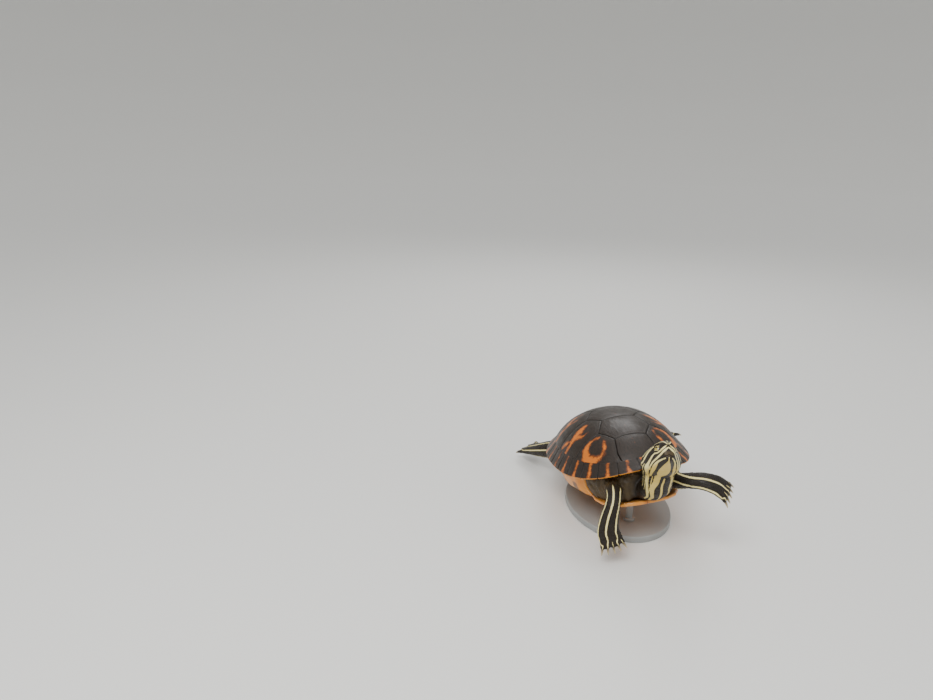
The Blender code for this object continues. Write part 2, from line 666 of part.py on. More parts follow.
def build_neck_and_tail(parent, trunk_cut):
    """The neck, cut clear of the head and the trunk, and the tail."""
    neck = node("neck", loft(swept(neck_stations(), 8, 16, tip_steps=0)), SKIN_DARK, parent)
    boolean(neck, trunk_cut, "DIFFERENCE")
    front = (HEAD_SECTIONS[-1][0] - 0.5) * HEAD_LENGTH + GAP
    block = head_box("head_clearance", Vector((-0.04, -0.08, -0.04)), Vector((0.04, front, 0.04)), 0.0, parent)
    boolean(neck, block, "DIFFERENCE")
    tail = [
        (Vector((0.000, 0.080, 0.0170)), 0.0085, 0.0070, Vector((0, 0, 1))),
        (Vector((0.001, 0.100, 0.0150)), 0.0062, 0.0056, Vector((0, 0, 1))),
        (Vector((0.004, 0.116, 0.0125)), 0.0036, 0.0034, Vector((0, 0, 1))),
        (Vector((0.009, 0.131, 0.0110)), 0.0015, 0.0015, Vector((0, 0, 1))),
    ]
    made = node("tail", loft(swept(tail, 7, 10)), SKIN_DARK, parent)
    boolean(made, trunk_cut, "DIFFERENCE")


# ---------------------------------------------------------------- stand


def build_stand(carrier):
    """A flat oval base and two rods that reach up to the plastron."""
    bm = bmesh.new()
    bmesh.ops.create_cone(bm, cap_ends=True, segments=36, radius1=0.5, radius2=0.5, depth=1.0)
    bmesh.ops.scale(bm, vec=(BASE_WIDTH, BASE_LENGTH, BASE_THICK), verts=bm.verts)
    bmesh.ops.translate(bm, vec=(0, 0, BASE_THICK / 2), verts=bm.verts)
    base = node("stand_base", bm, STAND_GREY)
    edge = base.modifiers.new("edge", "BEVEL")
    edge.width = 0.0010
    edge.segments = 1
    edge.limit_method = "ANGLE"
    for name, y in ROD_PLACES.items():
        under = carrier @ Vector((0, y, plastron_rise(y)))
        low = BASE_THICK + GAP
        rod = bmesh.new()
        bmesh.ops.create_cone(rod, cap_ends=True, segments=16, radius1=ROD_RADIUS, radius2=ROD_RADIUS,
                              depth=0.01)
        for v in rod.verts:
            # The top follows the plastron, which is tilted by the pose.
            tilted = under.z - GAP + v.co.x * math.sin(ROLL) - v.co.y * math.sin(PITCH)
            v.co = Vector((under.x + v.co.x, under.y + v.co.y, tilted if v.co.z > 0 else low))
        node(f"stand_rod_{name}", rod, STAND_GREY)


# ---------------------------------------------------------------- assembly

clear_scene()
PARTS = collection("cooter")
CUTTERS = collection("cutters", hidden=True)

SHELL_DARK = material("shell_dark", (0.045, 0.035, 0.025), 0.38)
PLASTRON_ORANGE = material("plastron_orange", (0.72, 0.30, 0.045), 0.42)
SKIN_DARK = material("skin_dark", (0.035, 0.040, 0.025), 0.45)
EYE_YELLOW = material("eye_yellow", (0.55, 0.45, 0.12), 0.10)
STAND_GREY = material("stand_grey", (0.60, 0.60, 0.58), 0.45)


def main():
    """Builds the animal in its own frame, carried by the pose's empty, and the stand."""
    pose = bpy.data.objects.new("swimming_pose", None)
    PARTS.objects.link(pose)
    carrier = Matrix.Translation((0, 0, LIFT)) @ Matrix.Rotation(-ROLL, 4, "Y") @ Matrix.Rotation(
        -PITCH, 4, "X")
    pose.matrix_world = carrier
    build_scutes(pose)
    build_marginals(pose)
    build_plastron(pose)
    build_bridges(pose)
    trunk = build_trunk(pose)
    trunk_cut = swollen(trunk, GAP)
    build_neck_and_tail(pose, trunk_cut)
    build_head(pose)
    build_legs(pose, trunk_cut)
    build_stand(carrier)


main()
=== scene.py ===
"""The looks of a life-size red-bellied cooter, swimming with its head raised, on a plain display stand.

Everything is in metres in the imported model's frame. The animal is shaped level in a frame of its own,
whose origin is the middle of the belly plate's underside and whose head points to -Y, and BODY carries
it at the height, pitch and roll of the swimming pose. Lengths of markings are in millimetres.
"""

import json
import logging
import math
from dataclasses import dataclass, field
from enum import Enum

import bpy
import numpy as np
from bpy.types import Material, NodeSocket, NodeTree, Object
from mathutils import Matrix, Vector, noise
from mathutils.bvhtree import BVHTree

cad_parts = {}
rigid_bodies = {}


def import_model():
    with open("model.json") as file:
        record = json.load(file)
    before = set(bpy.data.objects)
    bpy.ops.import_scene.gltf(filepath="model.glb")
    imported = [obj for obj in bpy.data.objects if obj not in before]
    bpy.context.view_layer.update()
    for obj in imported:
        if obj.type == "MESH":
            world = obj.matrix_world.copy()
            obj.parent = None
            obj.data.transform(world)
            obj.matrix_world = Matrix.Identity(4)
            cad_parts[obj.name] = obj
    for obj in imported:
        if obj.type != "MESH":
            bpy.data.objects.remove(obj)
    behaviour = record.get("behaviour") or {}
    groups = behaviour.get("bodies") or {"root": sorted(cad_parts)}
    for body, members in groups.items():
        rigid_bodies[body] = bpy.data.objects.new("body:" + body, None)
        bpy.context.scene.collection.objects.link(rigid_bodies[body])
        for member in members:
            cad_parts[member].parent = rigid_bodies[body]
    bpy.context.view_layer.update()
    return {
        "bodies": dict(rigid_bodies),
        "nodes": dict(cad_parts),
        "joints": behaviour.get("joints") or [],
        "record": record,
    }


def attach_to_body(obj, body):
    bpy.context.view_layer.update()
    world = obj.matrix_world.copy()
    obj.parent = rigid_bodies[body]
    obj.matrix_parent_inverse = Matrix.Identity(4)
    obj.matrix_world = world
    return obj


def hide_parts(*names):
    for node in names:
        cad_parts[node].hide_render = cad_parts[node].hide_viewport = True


Rows = np.ndarray  # a row, or a number, for each vertex or place
log = logging.getLogger("cooter")

MM = 0.001
LIFT = 0.040
PITCH = math.radians(7.5)
ROLL = math.radians(8.0)
BODY = Matrix.Translation((0, 0, LIFT)) @ Matrix.Rotation(-ROLL, 4, "Y") @ Matrix.Rotation(-PITCH, 4, "X")
BATCH = 4000  # places that are compared with a line at a time, to save memory


class Slot(Enum):
    """The record's finishes."""

    SHELL = "shell"
    PLASTRON = "plastron"
    SKIN = "skin"
    EYE = "eye"
    STAND = "stand"


class Side(Enum):
    """The animal's own left and right, with the sign of X on that side."""

    LEFT = 1
    RIGHT = -1

    @property
    def word(self) -> str:
        """The side's name as the nodes spell it."""
        return self.name.lower()


# ---------------------------------------------------------------- small tools


def linear(hexed: str) -> tuple[float, float, float, float]:
    """Linear colour of an sRGB hex value such as "d98a2c".

    Args:
        hexed: Six hex digits.

    Returns:
        Red, green, blue and alpha.
    """
    parts = [int(hexed[i:i + 2], 16) / 255 for i in (0, 2, 4)]
    return (*[p / 12.92 if p <= 0.04045 else ((p + 0.055) / 1.055) ** 2.4 for p in parts], 1.0)


def per_metre(millimetres: float) -> float:
    """Scale of a texture whose features are this many millimetres across."""
    return 1.0 / (millimetres * MM)


def smoothstep(low: float, high: float, value: Rows) -> Rows:
    """Smooth rise from 0 at low to 1 at high; high may be the smaller.

    Args:
        low: Value at which the result is 0.
        high: Value at which the result is 1.
        value: Where it is read.

    Returns:
        The shares.
    """
    t = np.clip((value - low) / (high - low), 0.0, 1.0)
    return t * t * (3 - 2 * t)


def deselect() -> None:
    """Leaves nothing selected; no piece is in edit mode between steps."""
    bpy.ops.object.select_all(action="DESELECT")


def pick(piece: Object) -> None:
    """Makes a piece the only one selected, and the active one.

    Args:
        piece: The piece.
    """
    deselect()
    piece.select_set(True)
    bpy.context.view_layer.objects.active = piece


def apply_modifier(piece: Object, kind: str, **settings: object) -> None:
    """Adds a modifier to a piece and applies it.

    Args:
        piece: The piece.
        kind: Blender's name for the modifier.
        settings: Its settings.
    """
    made = piece.modifiers.new("work", kind)
    for key, value in settings.items():
        setattr(made, key, value)
    pick(piece)
    bpy.ops.object.modifier_apply(modifier=made.name)


def in_edit(piece: Object, *steps: tuple) -> None:
    """Runs edit-mode operators on the whole of a piece.

    Args:
        piece: The piece.
        steps: Pairs of an operator and its settings.
    """
    pick(piece)
    bpy.ops.object.mode_set(mode="EDIT")
    bpy.ops.mesh.select_all(action="SELECT")
    for operator, settings in steps:
        operator(**settings)
    bpy.ops.object.mode_set(mode="OBJECT")


def read(items: object, key: str, width: int, kind: type = float) -> Rows:
    """Reads what each item of a mesh holds.

    Args:
        items: The mesh's vertices, edges or loops.
        key: Blender's name for what they hold.
        width: How many numbers that is.
        kind: The numbers' type.

    Returns:
        One row for each item.
    """
    flat = np.empty(len(items) * width, dtype=kind)
    items.foreach_get(key, flat)
    return flat.reshape(-1, width)


def coords(piece: Object) -> Rows:
    """Places of a piece's vertices."""
    return read(piece.data.vertices, "co", 3)


def normals_of(piece: Object) -> Rows:
    """Outward directions at a piece's vertices."""
    return read(piece.data.vertex_normals, "vector", 3)


def edges_of(piece: Object) -> Rows:
    """Vertex pairs of a piece's edges."""
    return read(piece.data.edges, "vertices", 2, np.int64)


def move_to(piece: Object, places: Rows) -> None:
    """Puts a piece's vertices at new places."""
    piece.data.vertices.foreach_set("co", places.astype(np.float64).ravel())
    piece.data.update()


def attach(piece: Object, **marks: Rows | float) -> None:
    """Stores numbers on a piece's vertices, for a material to read.

    Args:
        piece: The piece.
        marks: By the attribute's name, one number for each vertex or one for all.
    """
    for name, numbers in marks.items():
        made = piece.data.attributes.new(name, "FLOAT", "POINT")
        made.data.foreach_set("value", np.full(len(made.data), numbers, dtype=np.float32))


def carried(matrix: Matrix, places: Rows) -> Rows:
    """Rows of places carried by a matrix."""
    m = np.array(matrix)
    return places @ m[:3, :3].T + m[:3, 3]


def level(places: Rows) -> Rows:
    """Places in the animal's own level frame."""
    return carried(BODY.inverted(), places)


def smoothed(places: Rows, edges: Rows, rounds: int, share: Rows | float = 1.0,
             hold: bool = True) -> Rows:
    """Relaxes a mesh towards the means of each vertex's neighbours.

    Args:
        places: Vertex places.
        edges: Vertex pairs.
        rounds: How many times it relaxes.
        share: How much of each move a vertex makes.
        hold: Whether each round is followed by a swelling one that keeps the volume.

    Returns:
        The new places.
    """
    count = np.bincount(edges.ravel(), minlength=len(places)).reshape(-1, 1)
    weight = np.broadcast_to(np.asarray(share, dtype=float).reshape(-1, 1), (len(places), 1))
    out = places.copy()
    for _ in range(rounds):
        for pull in (0.5, -0.52) if hold else (0.5,):
            total = np.zeros_like(out)
            for axis in range(3):
                total[:, axis] = np.bincount(edges[:, 0], out[edges[:, 1], axis], len(out))
                total[:, axis] += np.bincount(edges[:, 1], out[edges[:, 0], axis], len(out))
            out += pull * weight * (total / np.maximum(count, 1) - out)
    return out


def mesh_piece(name: str, places: Rows | list, faces: list) -> Object:
    """A new object from places and faces.

    Args:
        name: The object's name.
        places: Vertex places.
        faces: Vertex numbers of each face.

    Returns:
        The object, linked to the scene.
    """
    mesh = bpy.data.meshes.new(name)
    mesh.from_pydata([tuple(p) for p in places], [], faces)
    piece = bpy.data.objects.new(name, mesh)
    bpy.context.scene.collection.objects.link(piece)
    return piece


def band(first: int, sides: int) -> list[list[int]]:
    """Faces between the ring of vertices that starts at a number and the ring after it."""
    turns = [(i, (i + 1) % sides) for i in range(sides)]
    return [[first + i, first + j, first + sides + j, first + sides + i] for i, j in turns]


def skinned(name: str, rings: list[Rows]) -> Object:
    """A closed body through rings of the same number of points, capped at both ends.

    Args:
        name: The object's name.
        rings: The rings, in order.

    Returns:
        The object, with its faces outwards.
    """
    sides = len(rings[0])
    faces = [face for r in range(len(rings) - 1) for face in band(r * sides, sides)]
    faces.append(list(reversed(range(sides))))
    faces.append([(len(rings) - 1) * sides + i for i in range(sides)])
    piece = mesh_piece(name, np.vstack(rings), faces)
    in_edit(piece, (bpy.ops.mesh.normals_make_consistent, {"inside": False}))
    return piece


def copy_of(frame: dict, node: str, name: str) -> Object:
    """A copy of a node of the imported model, with its loose triangles merged.

    Args:
        node: The node's name.
        name: The copy's name.

    Returns:
        The copy.
    """
    piece = bpy.data.objects.new(name, frame["nodes"][node].data.copy())
    piece.data.materials.clear()
    bpy.context.scene.collection.objects.link(piece)
    in_edit(piece, (bpy.ops.mesh.remove_doubles, {"threshold": 0.00001}))
    return piece


def joined(name: str, pieces: list[Object]) -> Object:
    """Several objects made one.

    Args:
        name: The name of the whole.
        pieces: The objects, which the whole uses up.

    Returns:
        The whole.
    """
    pick(pieces[0])
    for piece in pieces[1:]:
        piece.select_set(True)
    bpy.ops.object.join()
    pieces[0].name = name
    return pieces[0]


def remeshed(piece: Object, size: float) -> None:
    """Turns a piece into one even closed mesh of small squares of a size."""
    apply_modifier(piece, "REMESH", mode="VOXEL", voxel_size=size, adaptivity=0.0)


def finish_piece(piece: Object, material: Material, slot: Slot, *nodes: str) -> None:
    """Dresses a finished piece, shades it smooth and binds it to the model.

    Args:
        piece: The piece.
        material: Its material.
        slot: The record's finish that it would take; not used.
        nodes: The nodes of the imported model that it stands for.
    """
    piece.data.materials.clear()
    piece.data.materials.append(material)
    pick(piece)
    bpy.ops.object.shade_smooth()
    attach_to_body(piece, "root")
    if nodes:
        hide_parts(*nodes)
    log.info("%s: %d faces", piece.name, len(piece.data.polygons))


def noise_at(rows: Rows) -> Rows:
    """Smooth noise between about -1 and 1, with features one unit across, at rows of places."""
    return np.array([noise.noise(Vector(row)) for row in rows])


def through(points: Rows, count: int) -> Rows:
    """Rows made count in number by a smooth curve through them.

    Args:
        points: The rows to pass through.
        count: How many rows are wanted.

    Returns:
        The new rows.
    """
    last = len(points) - 1
    t = np.linspace(0, last, count)
    i = np.minimum(t.astype(int), last - 1)
    f = (t - i).reshape(-1, 1)
    a, b, c, d = (points[np.clip(i + k, 0, last)] for k in (-1, 0, 1, 2))
    return 0.5 * (2 * b + (c - a) * f + (2 * a - 5 * b + 4 * c - d) * f ** 2
                  + (3 * b - a - 3 * c + d) * f ** 3)


def add(tree: NodeTree, kind: str, settings: dict, inputs: dict | None = None,
        out: str | None = None) -> NodeSocket:
    """Adds one shader node.

    Args:
        tree: The material's node tree.
        kind: Blender's name for the node, after "ShaderNode".
        settings: Settings of the node itself.
        inputs: For each input by name or number, a value, a colour in hex or another node's output.
        out: The output that is wanted, or None for the first one in use.

    Returns:
        The node's output.
    """
    node = tree.nodes.new("ShaderNode" + kind)
    for key, value in settings.items():
        setattr(node, key, value)
    for key, value in (inputs or {}).items():
        if isinstance(value, NodeSocket):
            tree.links.new(value, node.inputs[key])
        else:
            node.inputs[key].default_value = linear(value) if isinstance(value, str) else value
    return node.outputs[out] if out else next(socket for socket in node.outputs if socket.enabled)


def blank(name: str) -> tuple[Material, NodeTree, NodeSocket]:
    """A material with nothing but its output, and the piece's own coordinates.

    Args:
        name: The material's name.

    Returns:
        The material, its tree and the coordinates' output.
    """
    material = bpy.data.materials.new(name)
    material.use_nodes = True
    material.node_tree.nodes.clear()
    tree = material.node_tree
    return material, tree, add(tree, "TexCoord", {}, out="Object")


def close(tree: NodeTree, shader: NodeSocket) -> None:
    """Links a finished shader to the material's output."""
    tree.links.new(shader, tree.nodes.new("ShaderNodeOutputMaterial").inputs["Surface"])


# ---------------------------------------------------------------- finishes

# Settings that many nodes share.
BLEND = {"data_type": "RGBA"}
SMOOTH = {"interpolation_type": "SMOOTHSTEP"}
FUSED = {"operation": "MULTIPLY_ADD"}
CLAMPED = {"operation": "MULTIPLY_ADD", "use_clamp": True}


@dataclass(frozen=True)
class StripedSkin:
    """Wet black reptile skin with cream stripes and painted shade in mouth and nostrils, from the skin's own
    attributes.

    Here and in the other finishes the sizes of patterns are in millimetres.
    """

    black: str = "100c07"
    brown: str = "251b10"
    cream: str = "f3e7a6"
    straw: str = "d0b45c"
    olive: str = "5c4a2a"
    umber: str = "271d11"
    # painted shade: near black laid into the mouth's slit and the nostril holes
    mouth_lining: str = "0d0907"
    grain: float = 0.9  # between the little scales
    crease: float = 0.7
    ragged: float = 2.2
    blotch: float = 7.0

    def make(self) -> Material:
        """Builds the material.

        Returns:
            The material.
        """
        # Skin keeps a soft satin shine, and the thin film of water on it a sharper one.
        material, tree, place = blank("wet_reptile_skin")
        stripe, loose, throat, mouth, fine = (
            add(tree, "Attribute", {"attribute_name": name}, out="Fac")
            for name in ("stripe", "loose", "throat", "mouth", "fine"))
        ragged = add(tree, "TexNoise", {}, {"Vector": place, "Scale": per_metre(self.ragged), "Detail": 3.0})
        blotch = add(tree, "TexNoise", {}, {"Vector": place, "Scale": per_metre(self.blotch), "Detail": 4.0})
        swing = add(tree, "Math", FUSED, {0: ragged, 1: 0.60, 2: -0.30})
        edge = add(tree, "Math", {"operation": "ADD"}, {0: stripe, 1: swing})
        pale = add(tree, "MapRange", SMOOTH, {"Value": edge, "From Min": 0.14, "From Max": -0.14})
        dark = add(tree, "Mix", BLEND, {0: blotch, 6: self.black, 7: self.brown})
        soft = add(tree, "Mix", BLEND, {0: blotch, 6: self.umber, 7: self.olive})
        ground = add(tree, "Mix", BLEND, {0: loose, 6: dark, 7: soft})
        yellow = add(tree, "Math", CLAMPED, {0: blotch, 1: 0.5, 2: throat})
        bright = add(tree, "Mix", BLEND, {0: yellow, 6: self.cream, 7: self.straw})
        marked = add(tree, "Mix", BLEND, {0: pale, 6: ground, 7: bright})
        # painted shade of the mouth's slit and the nostrils, where the mouth attribute is high
        colour = add(tree, "Mix", BLEND, {0: mouth, 6: marked, 7: self.mouth_lining})
        scales = add(tree, "TexVoronoi", {"feature": "DISTANCE_TO_EDGE"}, {
            "Vector": place, "Scale": per_metre(self.grain)})
        groove = add(tree, "MapRange", SMOOTH, {"Value": scales, "From Min": 0.0, "From Max": 0.30})
        depth = add(tree, "Math", {"operation": "MULTIPLY"}, {0: groove, 1: fine})
        crease = add(tree, "TexNoise", {}, {"Vector": place, "Scale": per_metre(self.crease), "Detail": 4.0})
        first = add(tree, "Bump", {}, {"Strength": 0.45, "Distance": 0.00022, "Height": depth})
        second = add(tree, "Bump", {}, {
            "Strength": 0.22, "Distance": 0.00018, "Height": crease, "Normal": first})
        rough = add(tree, "MapRange", {}, {
            "Value": blotch, "From Min": 0.3, "From Max": 0.7, "To Min": 0.40, "To Max": 0.56})
        close(tree, add(tree, "BsdfPrincipled", {}, {
            "Base Color": colour, "Roughness": rough, "Normal": second, "IOR": 1.45,
            "Specular IOR Level": 0.36, "Coat Weight": 0.10, "Coat Roughness": 0.18}))
        return material


@dataclass(frozen=True)
class ShellHorn:
    """Horny shell plates: near black with rust-orange bars above, and orange with dark smudges below."""

    black: str = "120e09"
    brown: str = "33251a"
    rust: str = "84340c"
    amber: str = "cf6f16"
    belly: str = "dc7d12"
    gold: str = "eda02c"
    soot: str = "2b1a0e"
    seam: str = "120d09"
    growth: float = 1.7  # between growth lines
    streak: float = 1.5
    ragged: float = 3.0
    cloud: float = 9.0

    def make(self) -> Material:
        """Builds the material.

        Returns:
            The material.
        """
        # Horn is a hard, slightly translucent gloss that years of grazing and sand have dulled in patches.
        material, tree, place = blank("shell_horn")
        edge, mark, under, smudge = (
            add(tree, "Attribute", {"attribute_name": name}, out="Fac")
            for name in ("edge", "mark", "under", "smudge"))
        cloud = add(tree, "TexNoise", {}, {"Vector": place, "Scale": per_metre(self.cloud), "Detail": 5.0})
        ragged = add(tree, "TexNoise", {}, {
            "Vector": place, "Scale": per_metre(self.ragged), "Detail": 5.0, "Roughness": 0.65})
        drawn = add(tree, "Mapping", {}, {"Vector": place, "Scale": (1.0, 0.28, 1.0)})
        streak = add(tree, "TexNoise", {}, {
            "Vector": drawn, "Scale": per_metre(self.streak), "Detail": 5.0, "Roughness": 0.6})
        swing = add(tree, "Math", FUSED, {0: ragged, 1: 7.0, 2: -3.5})
        broken = add(tree, "Math", FUSED, {0: cloud, 1: 7.0, 2: swing})
        border = add(tree, "Math", {"operation": "ADD"}, {0: mark, 1: broken})
        shown = add(tree, "MapRange", SMOOTH, {
            "Value": border, "From Min": 5.0, "From Max": 1.2, "To Max": 0.94})
        fleck = add(tree, "Math", CLAMPED, {0: streak, 1: 1.6, 2: -0.35})
        dark = add(tree, "Mix", BLEND, {0: fleck, 6: self.black, 7: self.brown})
        heart = add(tree, "Math", CLAMPED, {0: shown, 1: 1.1, 2: -0.45})
        glow = add(tree, "Math", CLAMPED, {0: streak, 1: 0.9, 2: heart})
        warm = add(tree, "Mix", BLEND, {0: glow, 6: self.rust, 7: self.amber})
        top = add(tree, "Mix", BLEND, {0: shown, 6: dark, 7: warm})
        orange = add(tree, "Mix", BLEND, {0: cloud, 6: self.belly, 7: self.gold})
        far = add(tree, "Math", {"operation": "ADD"}, {0: smudge, 1: swing})
        sooty = add(tree, "MapRange", SMOOTH, {
            "Value": far, "From Min": 1.1, "From Max": -0.9, "To Max": 0.88})
        below = add(tree, "Mix", BLEND, {0: sooty, 6: orange, 7: self.soot})
        both = add(tree, "Mix", BLEND, {0: under, 6: top, 7: below})
        seam = add(tree, "MapRange", SMOOTH, {
            "Value": edge, "From Min": 1.1, "From Max": 0.2, "To Max": 0.75})
        colour = add(tree, "Mix", BLEND, {0: seam, 6: both, 7: self.seam})
        turns = add(tree, "Math", {"operation": "MULTIPLY"}, {0: edge, 1: 2 * math.pi / self.growth})
        bent = add(tree, "Math", FUSED, {0: ragged, 1: 9.0, 2: turns})
        wave = add(tree, "Math", {"operation": "SINE"}, {0: bent})
        fade = add(tree, "MapRange", SMOOTH, {
            "Value": edge, "From Min": 14.0, "From Max": 1.0, "To Max": 0.15})
        rings = add(tree, "Math", {"operation": "MULTIPLY"}, {0: wave, 1: fade})
        relief = add(tree, "Math", FUSED, {0: streak, 1: 1.1, 2: rings})
        bump = add(tree, "Bump", {}, {"Strength": 0.60, "Distance": 0.00050, "Height": relief})
        rough = add(tree, "MapRange", {}, {
            "Value": cloud, "From Min": 0.3, "From Max": 0.7, "To Min": 0.36, "To Max": 0.54})
        close(tree, add(tree, "BsdfPrincipled", {}, {
            "Base Color": colour, "Roughness": rough, "Normal": bump, "IOR": 1.50,
            "Specular IOR Level": 0.38, "Coat Weight": 0.12, "Coat Roughness": 0.16}))
        return material


@dataclass(frozen=True)
class BellyHorn:
    """The smooth orange horn of the belly plate and the bridges, with brown seams."""

    orange: str = "da780f"
    gold: str = "efa534"
    red: str = "c25a10"
    soot: str = "301b0d"
    seam: str = "4a2410"
    inside: str = "8a6134"
    cloud: float = 14.0
    streak: float = 2.4

    def make(self) -> Material:
        """Builds the material.

        Returns:
            The material.
        """
        # Belly horn is polished by the ground it slides over, and wears paler towards the plates' middles.
        material, tree, place = blank("belly_horn")
        seam, smudge, inner = (add(tree, "Attribute", {"attribute_name": name}, out="Fac")
                               for name in ("seam", "smudge", "inner"))
        cloud = add(tree, "TexNoise", {}, {"Vector": place, "Scale": per_metre(self.cloud), "Detail": 4.0})
        streak = add(tree, "TexNoise", {}, {
            "Vector": place, "Scale": per_metre(self.streak), "Detail": 5.0, "Roughness": 0.6})
        base = add(tree, "Mix", BLEND, {0: cloud, 6: self.orange, 7: self.gold})
        near = add(tree, "MapRange", SMOOTH, {
            "Value": seam, "From Min": 5.0, "From Max": 0.3, "To Max": 0.55})
        rim = add(tree, "Mix", BLEND, {0: near, 6: base, 7: self.red})
        swing = add(tree, "Math", FUSED, {0: streak, 1: 5.0, 2: -2.5})
        far = add(tree, "Math", {"operation": "ADD"}, {0: smudge, 1: swing})
        sooty = add(tree, "MapRange", SMOOTH, {
            "Value": far, "From Min": 1.2, "From Max": -1.2, "To Max": 0.82})
        dirty = add(tree, "Mix", BLEND, {0: sooty, 6: rim, 7: self.soot})
        line = add(tree, "MapRange", SMOOTH, {
            "Value": seam, "From Min": 0.55, "From Max": 0.15, "To Max": 0.85})
        lined = add(tree, "Mix", BLEND, {0: line, 6: dirty, 7: self.seam})
        colour = add(tree, "Mix", BLEND, {0: inner, 6: lined, 7: self.inside})
        cut = add(tree, "MapRange", SMOOTH, {"Value": seam, "From Min": 0.1, "From Max": 0.8})
        turns = add(tree, "Math", {"operation": "MULTIPLY"}, {0: seam, 1: 3.4})
        wave = add(tree, "Math", {"operation": "SINE"}, {0: turns})
        low = add(tree, "Math", FUSED, {0: wave, 1: 0.05, 2: cut})
        relief = add(tree, "Math", FUSED, {0: streak, 1: 0.18, 2: low})
        bump = add(tree, "Bump", {}, {"Strength": 0.6, "Distance": 0.0004, "Height": relief})
        close(tree, add(tree, "BsdfPrincipled", {}, {
            "Base Color": colour, "Roughness": 0.34, "Normal": bump, "IOR": 1.54,
            "Coat Weight": 0.20, "Coat Roughness": 0.20}))
        return material


@dataclass(frozen=True)
class EyeSurface:
    """A wet eye: a gold iris with a dark bar across it, a round pupil and a dark rim."""

    gold: str = "d9c04a"
    ochre: str = "8d7a22"
    black: str = "070605"
    fleck: float = 0.35

    def make(self) -> Material:
        """Builds the material.

        Returns:
            The material.
        """
        # The cornea is clear and smooth as glass, so the whole eye takes a sharp highlight.
        material, tree, place = blank("wet_eye")
        radius, bar = (add(tree, "Attribute", {"attribute_name": name}, out="Fac")
                       for name in ("from_axis", "across"))
        fleck = add(tree, "TexNoise", {}, {"Vector": place, "Scale": per_metre(self.fleck), "Detail": 3.0})
        iris = add(tree, "Mix", BLEND, {0: fleck, 6: self.ochre, 7: self.gold})
        pupil = add(tree, "MapRange", SMOOTH, {"Value": radius, "From Min": 1.05, "From Max": 0.90})
        ring = add(tree, "MapRange", SMOOTH, {"Value": radius, "From Min": 2.45, "From Max": 2.70})
        stroke = add(tree, "MapRange", SMOOTH, {
            "Value": bar, "From Min": 0.62, "From Max": 0.42, "To Max": 0.92})
        dark = add(tree, "Math", {"operation": "MAXIMUM"}, {0: pupil, 1: stroke})
        all_dark = add(tree, "Math", {"operation": "MAXIMUM"}, {0: dark, 1: ring})
        colour = add(tree, "Mix", BLEND, {0: all_dark, 6: iris, 7: self.black})
        close(tree, add(tree, "BsdfPrincipled", {}, {
            "Base Color": colour, "Roughness": 0.12, "IOR": 1.38, "Coat Weight": 1.0,
            "Coat Roughness": 0.02}))
        return material


@dataclass(frozen=True)
class ClawHorn:
    """Claws: translucent horn, pale at the tip and darker at the root."""

    pale: str = "cdb98a"
    dark: str = "3a2c1b"
    streak: float = 0.8

    def make(self) -> Material:
        """Builds the material.

        Returns:
            The material.
        """
        # Fine streaks roughen the claw a little, and its surface is still smooth enough to shine.
        material, tree, place = blank("claw_horn")
        root = add(tree, "Attribute", {"attribute_name": "root"}, out="Fac")
        streak = add(tree, "TexNoise", {}, {"Vector": place, "Scale": per_metre(self.streak), "Detail": 4.0})
        share = add(tree, "Math", CLAMPED, {0: streak, 1: 0.35, 2: root})
        colour = add(tree, "Mix", BLEND, {0: share, 6: self.pale, 7: self.dark})
        bump = add(tree, "Bump", {}, {"Strength": 0.2, "Distance": 0.0001, "Height": streak})
        close(tree, add(tree, "BsdfPrincipled", {}, {
            "Base Color": colour, "Roughness": 0.32, "Normal": bump, "IOR": 1.54}))
        return material


@dataclass(frozen=True)
class PowderCoat:
    """Powder-coated steel: an even satin grey with a faint orange-peel texture."""

    grey: str = "8d8f8e"
    light: str = "9a9c9a"
    peel: float = 1.1
    drift: float = 30.0

    def make(self) -> Material:
        """Builds the material.

        Returns:
            The material.
        """
        # The baked powder flows into low dimples about a millimetre across, which soften reflections.
        material, tree, place = blank("powder_coated_steel")
        peel = add(tree, "TexNoise", {}, {"Vector": place, "Scale": per_metre(self.peel), "Detail": 2.0})
        drift = add(tree, "TexNoise", {}, {"Vector": place, "Scale": per_metre(self.drift), "Detail": 2.0})
        colour = add(tree, "Mix", BLEND, {0: drift, 6: self.grey, 7: self.light})
        bump = add(tree, "Bump", {}, {"Strength": 0.15, "Distance": 0.0001, "Height": peel})
        close(tree, add(tree, "BsdfPrincipled", {}, {
            "Base Color": colour, "Roughness": 0.42, "Normal": bump}))
        return material


@dataclass(frozen=True)
class StudioPaper:
    """The matt pale paper that the studio's floor is covered with."""

    pale: str = "e4e3df"
    fibre: float = 3.0

    def make(self) -> Material:
        """Builds the material.

        Returns:
            The material.
        """
        # Paper scatters light evenly, with only a trace of its fibres.
        material, tree, place = blank("studio_paper")
        fibre = add(tree, "TexNoise", {}, {"Vector": place, "Scale": per_metre(self.fibre), "Detail": 3.0})
        bump = add(tree, "Bump", {}, {"Strength": 0.04, "Distance": 0.0002, "Height": fibre})
        close(tree, add(tree, "BsdfPrincipled", {}, {
            "Base Color": self.pale, "Roughness": 0.8, "Normal": bump}))
        return material


# ---------------------------------------------------------------- shell


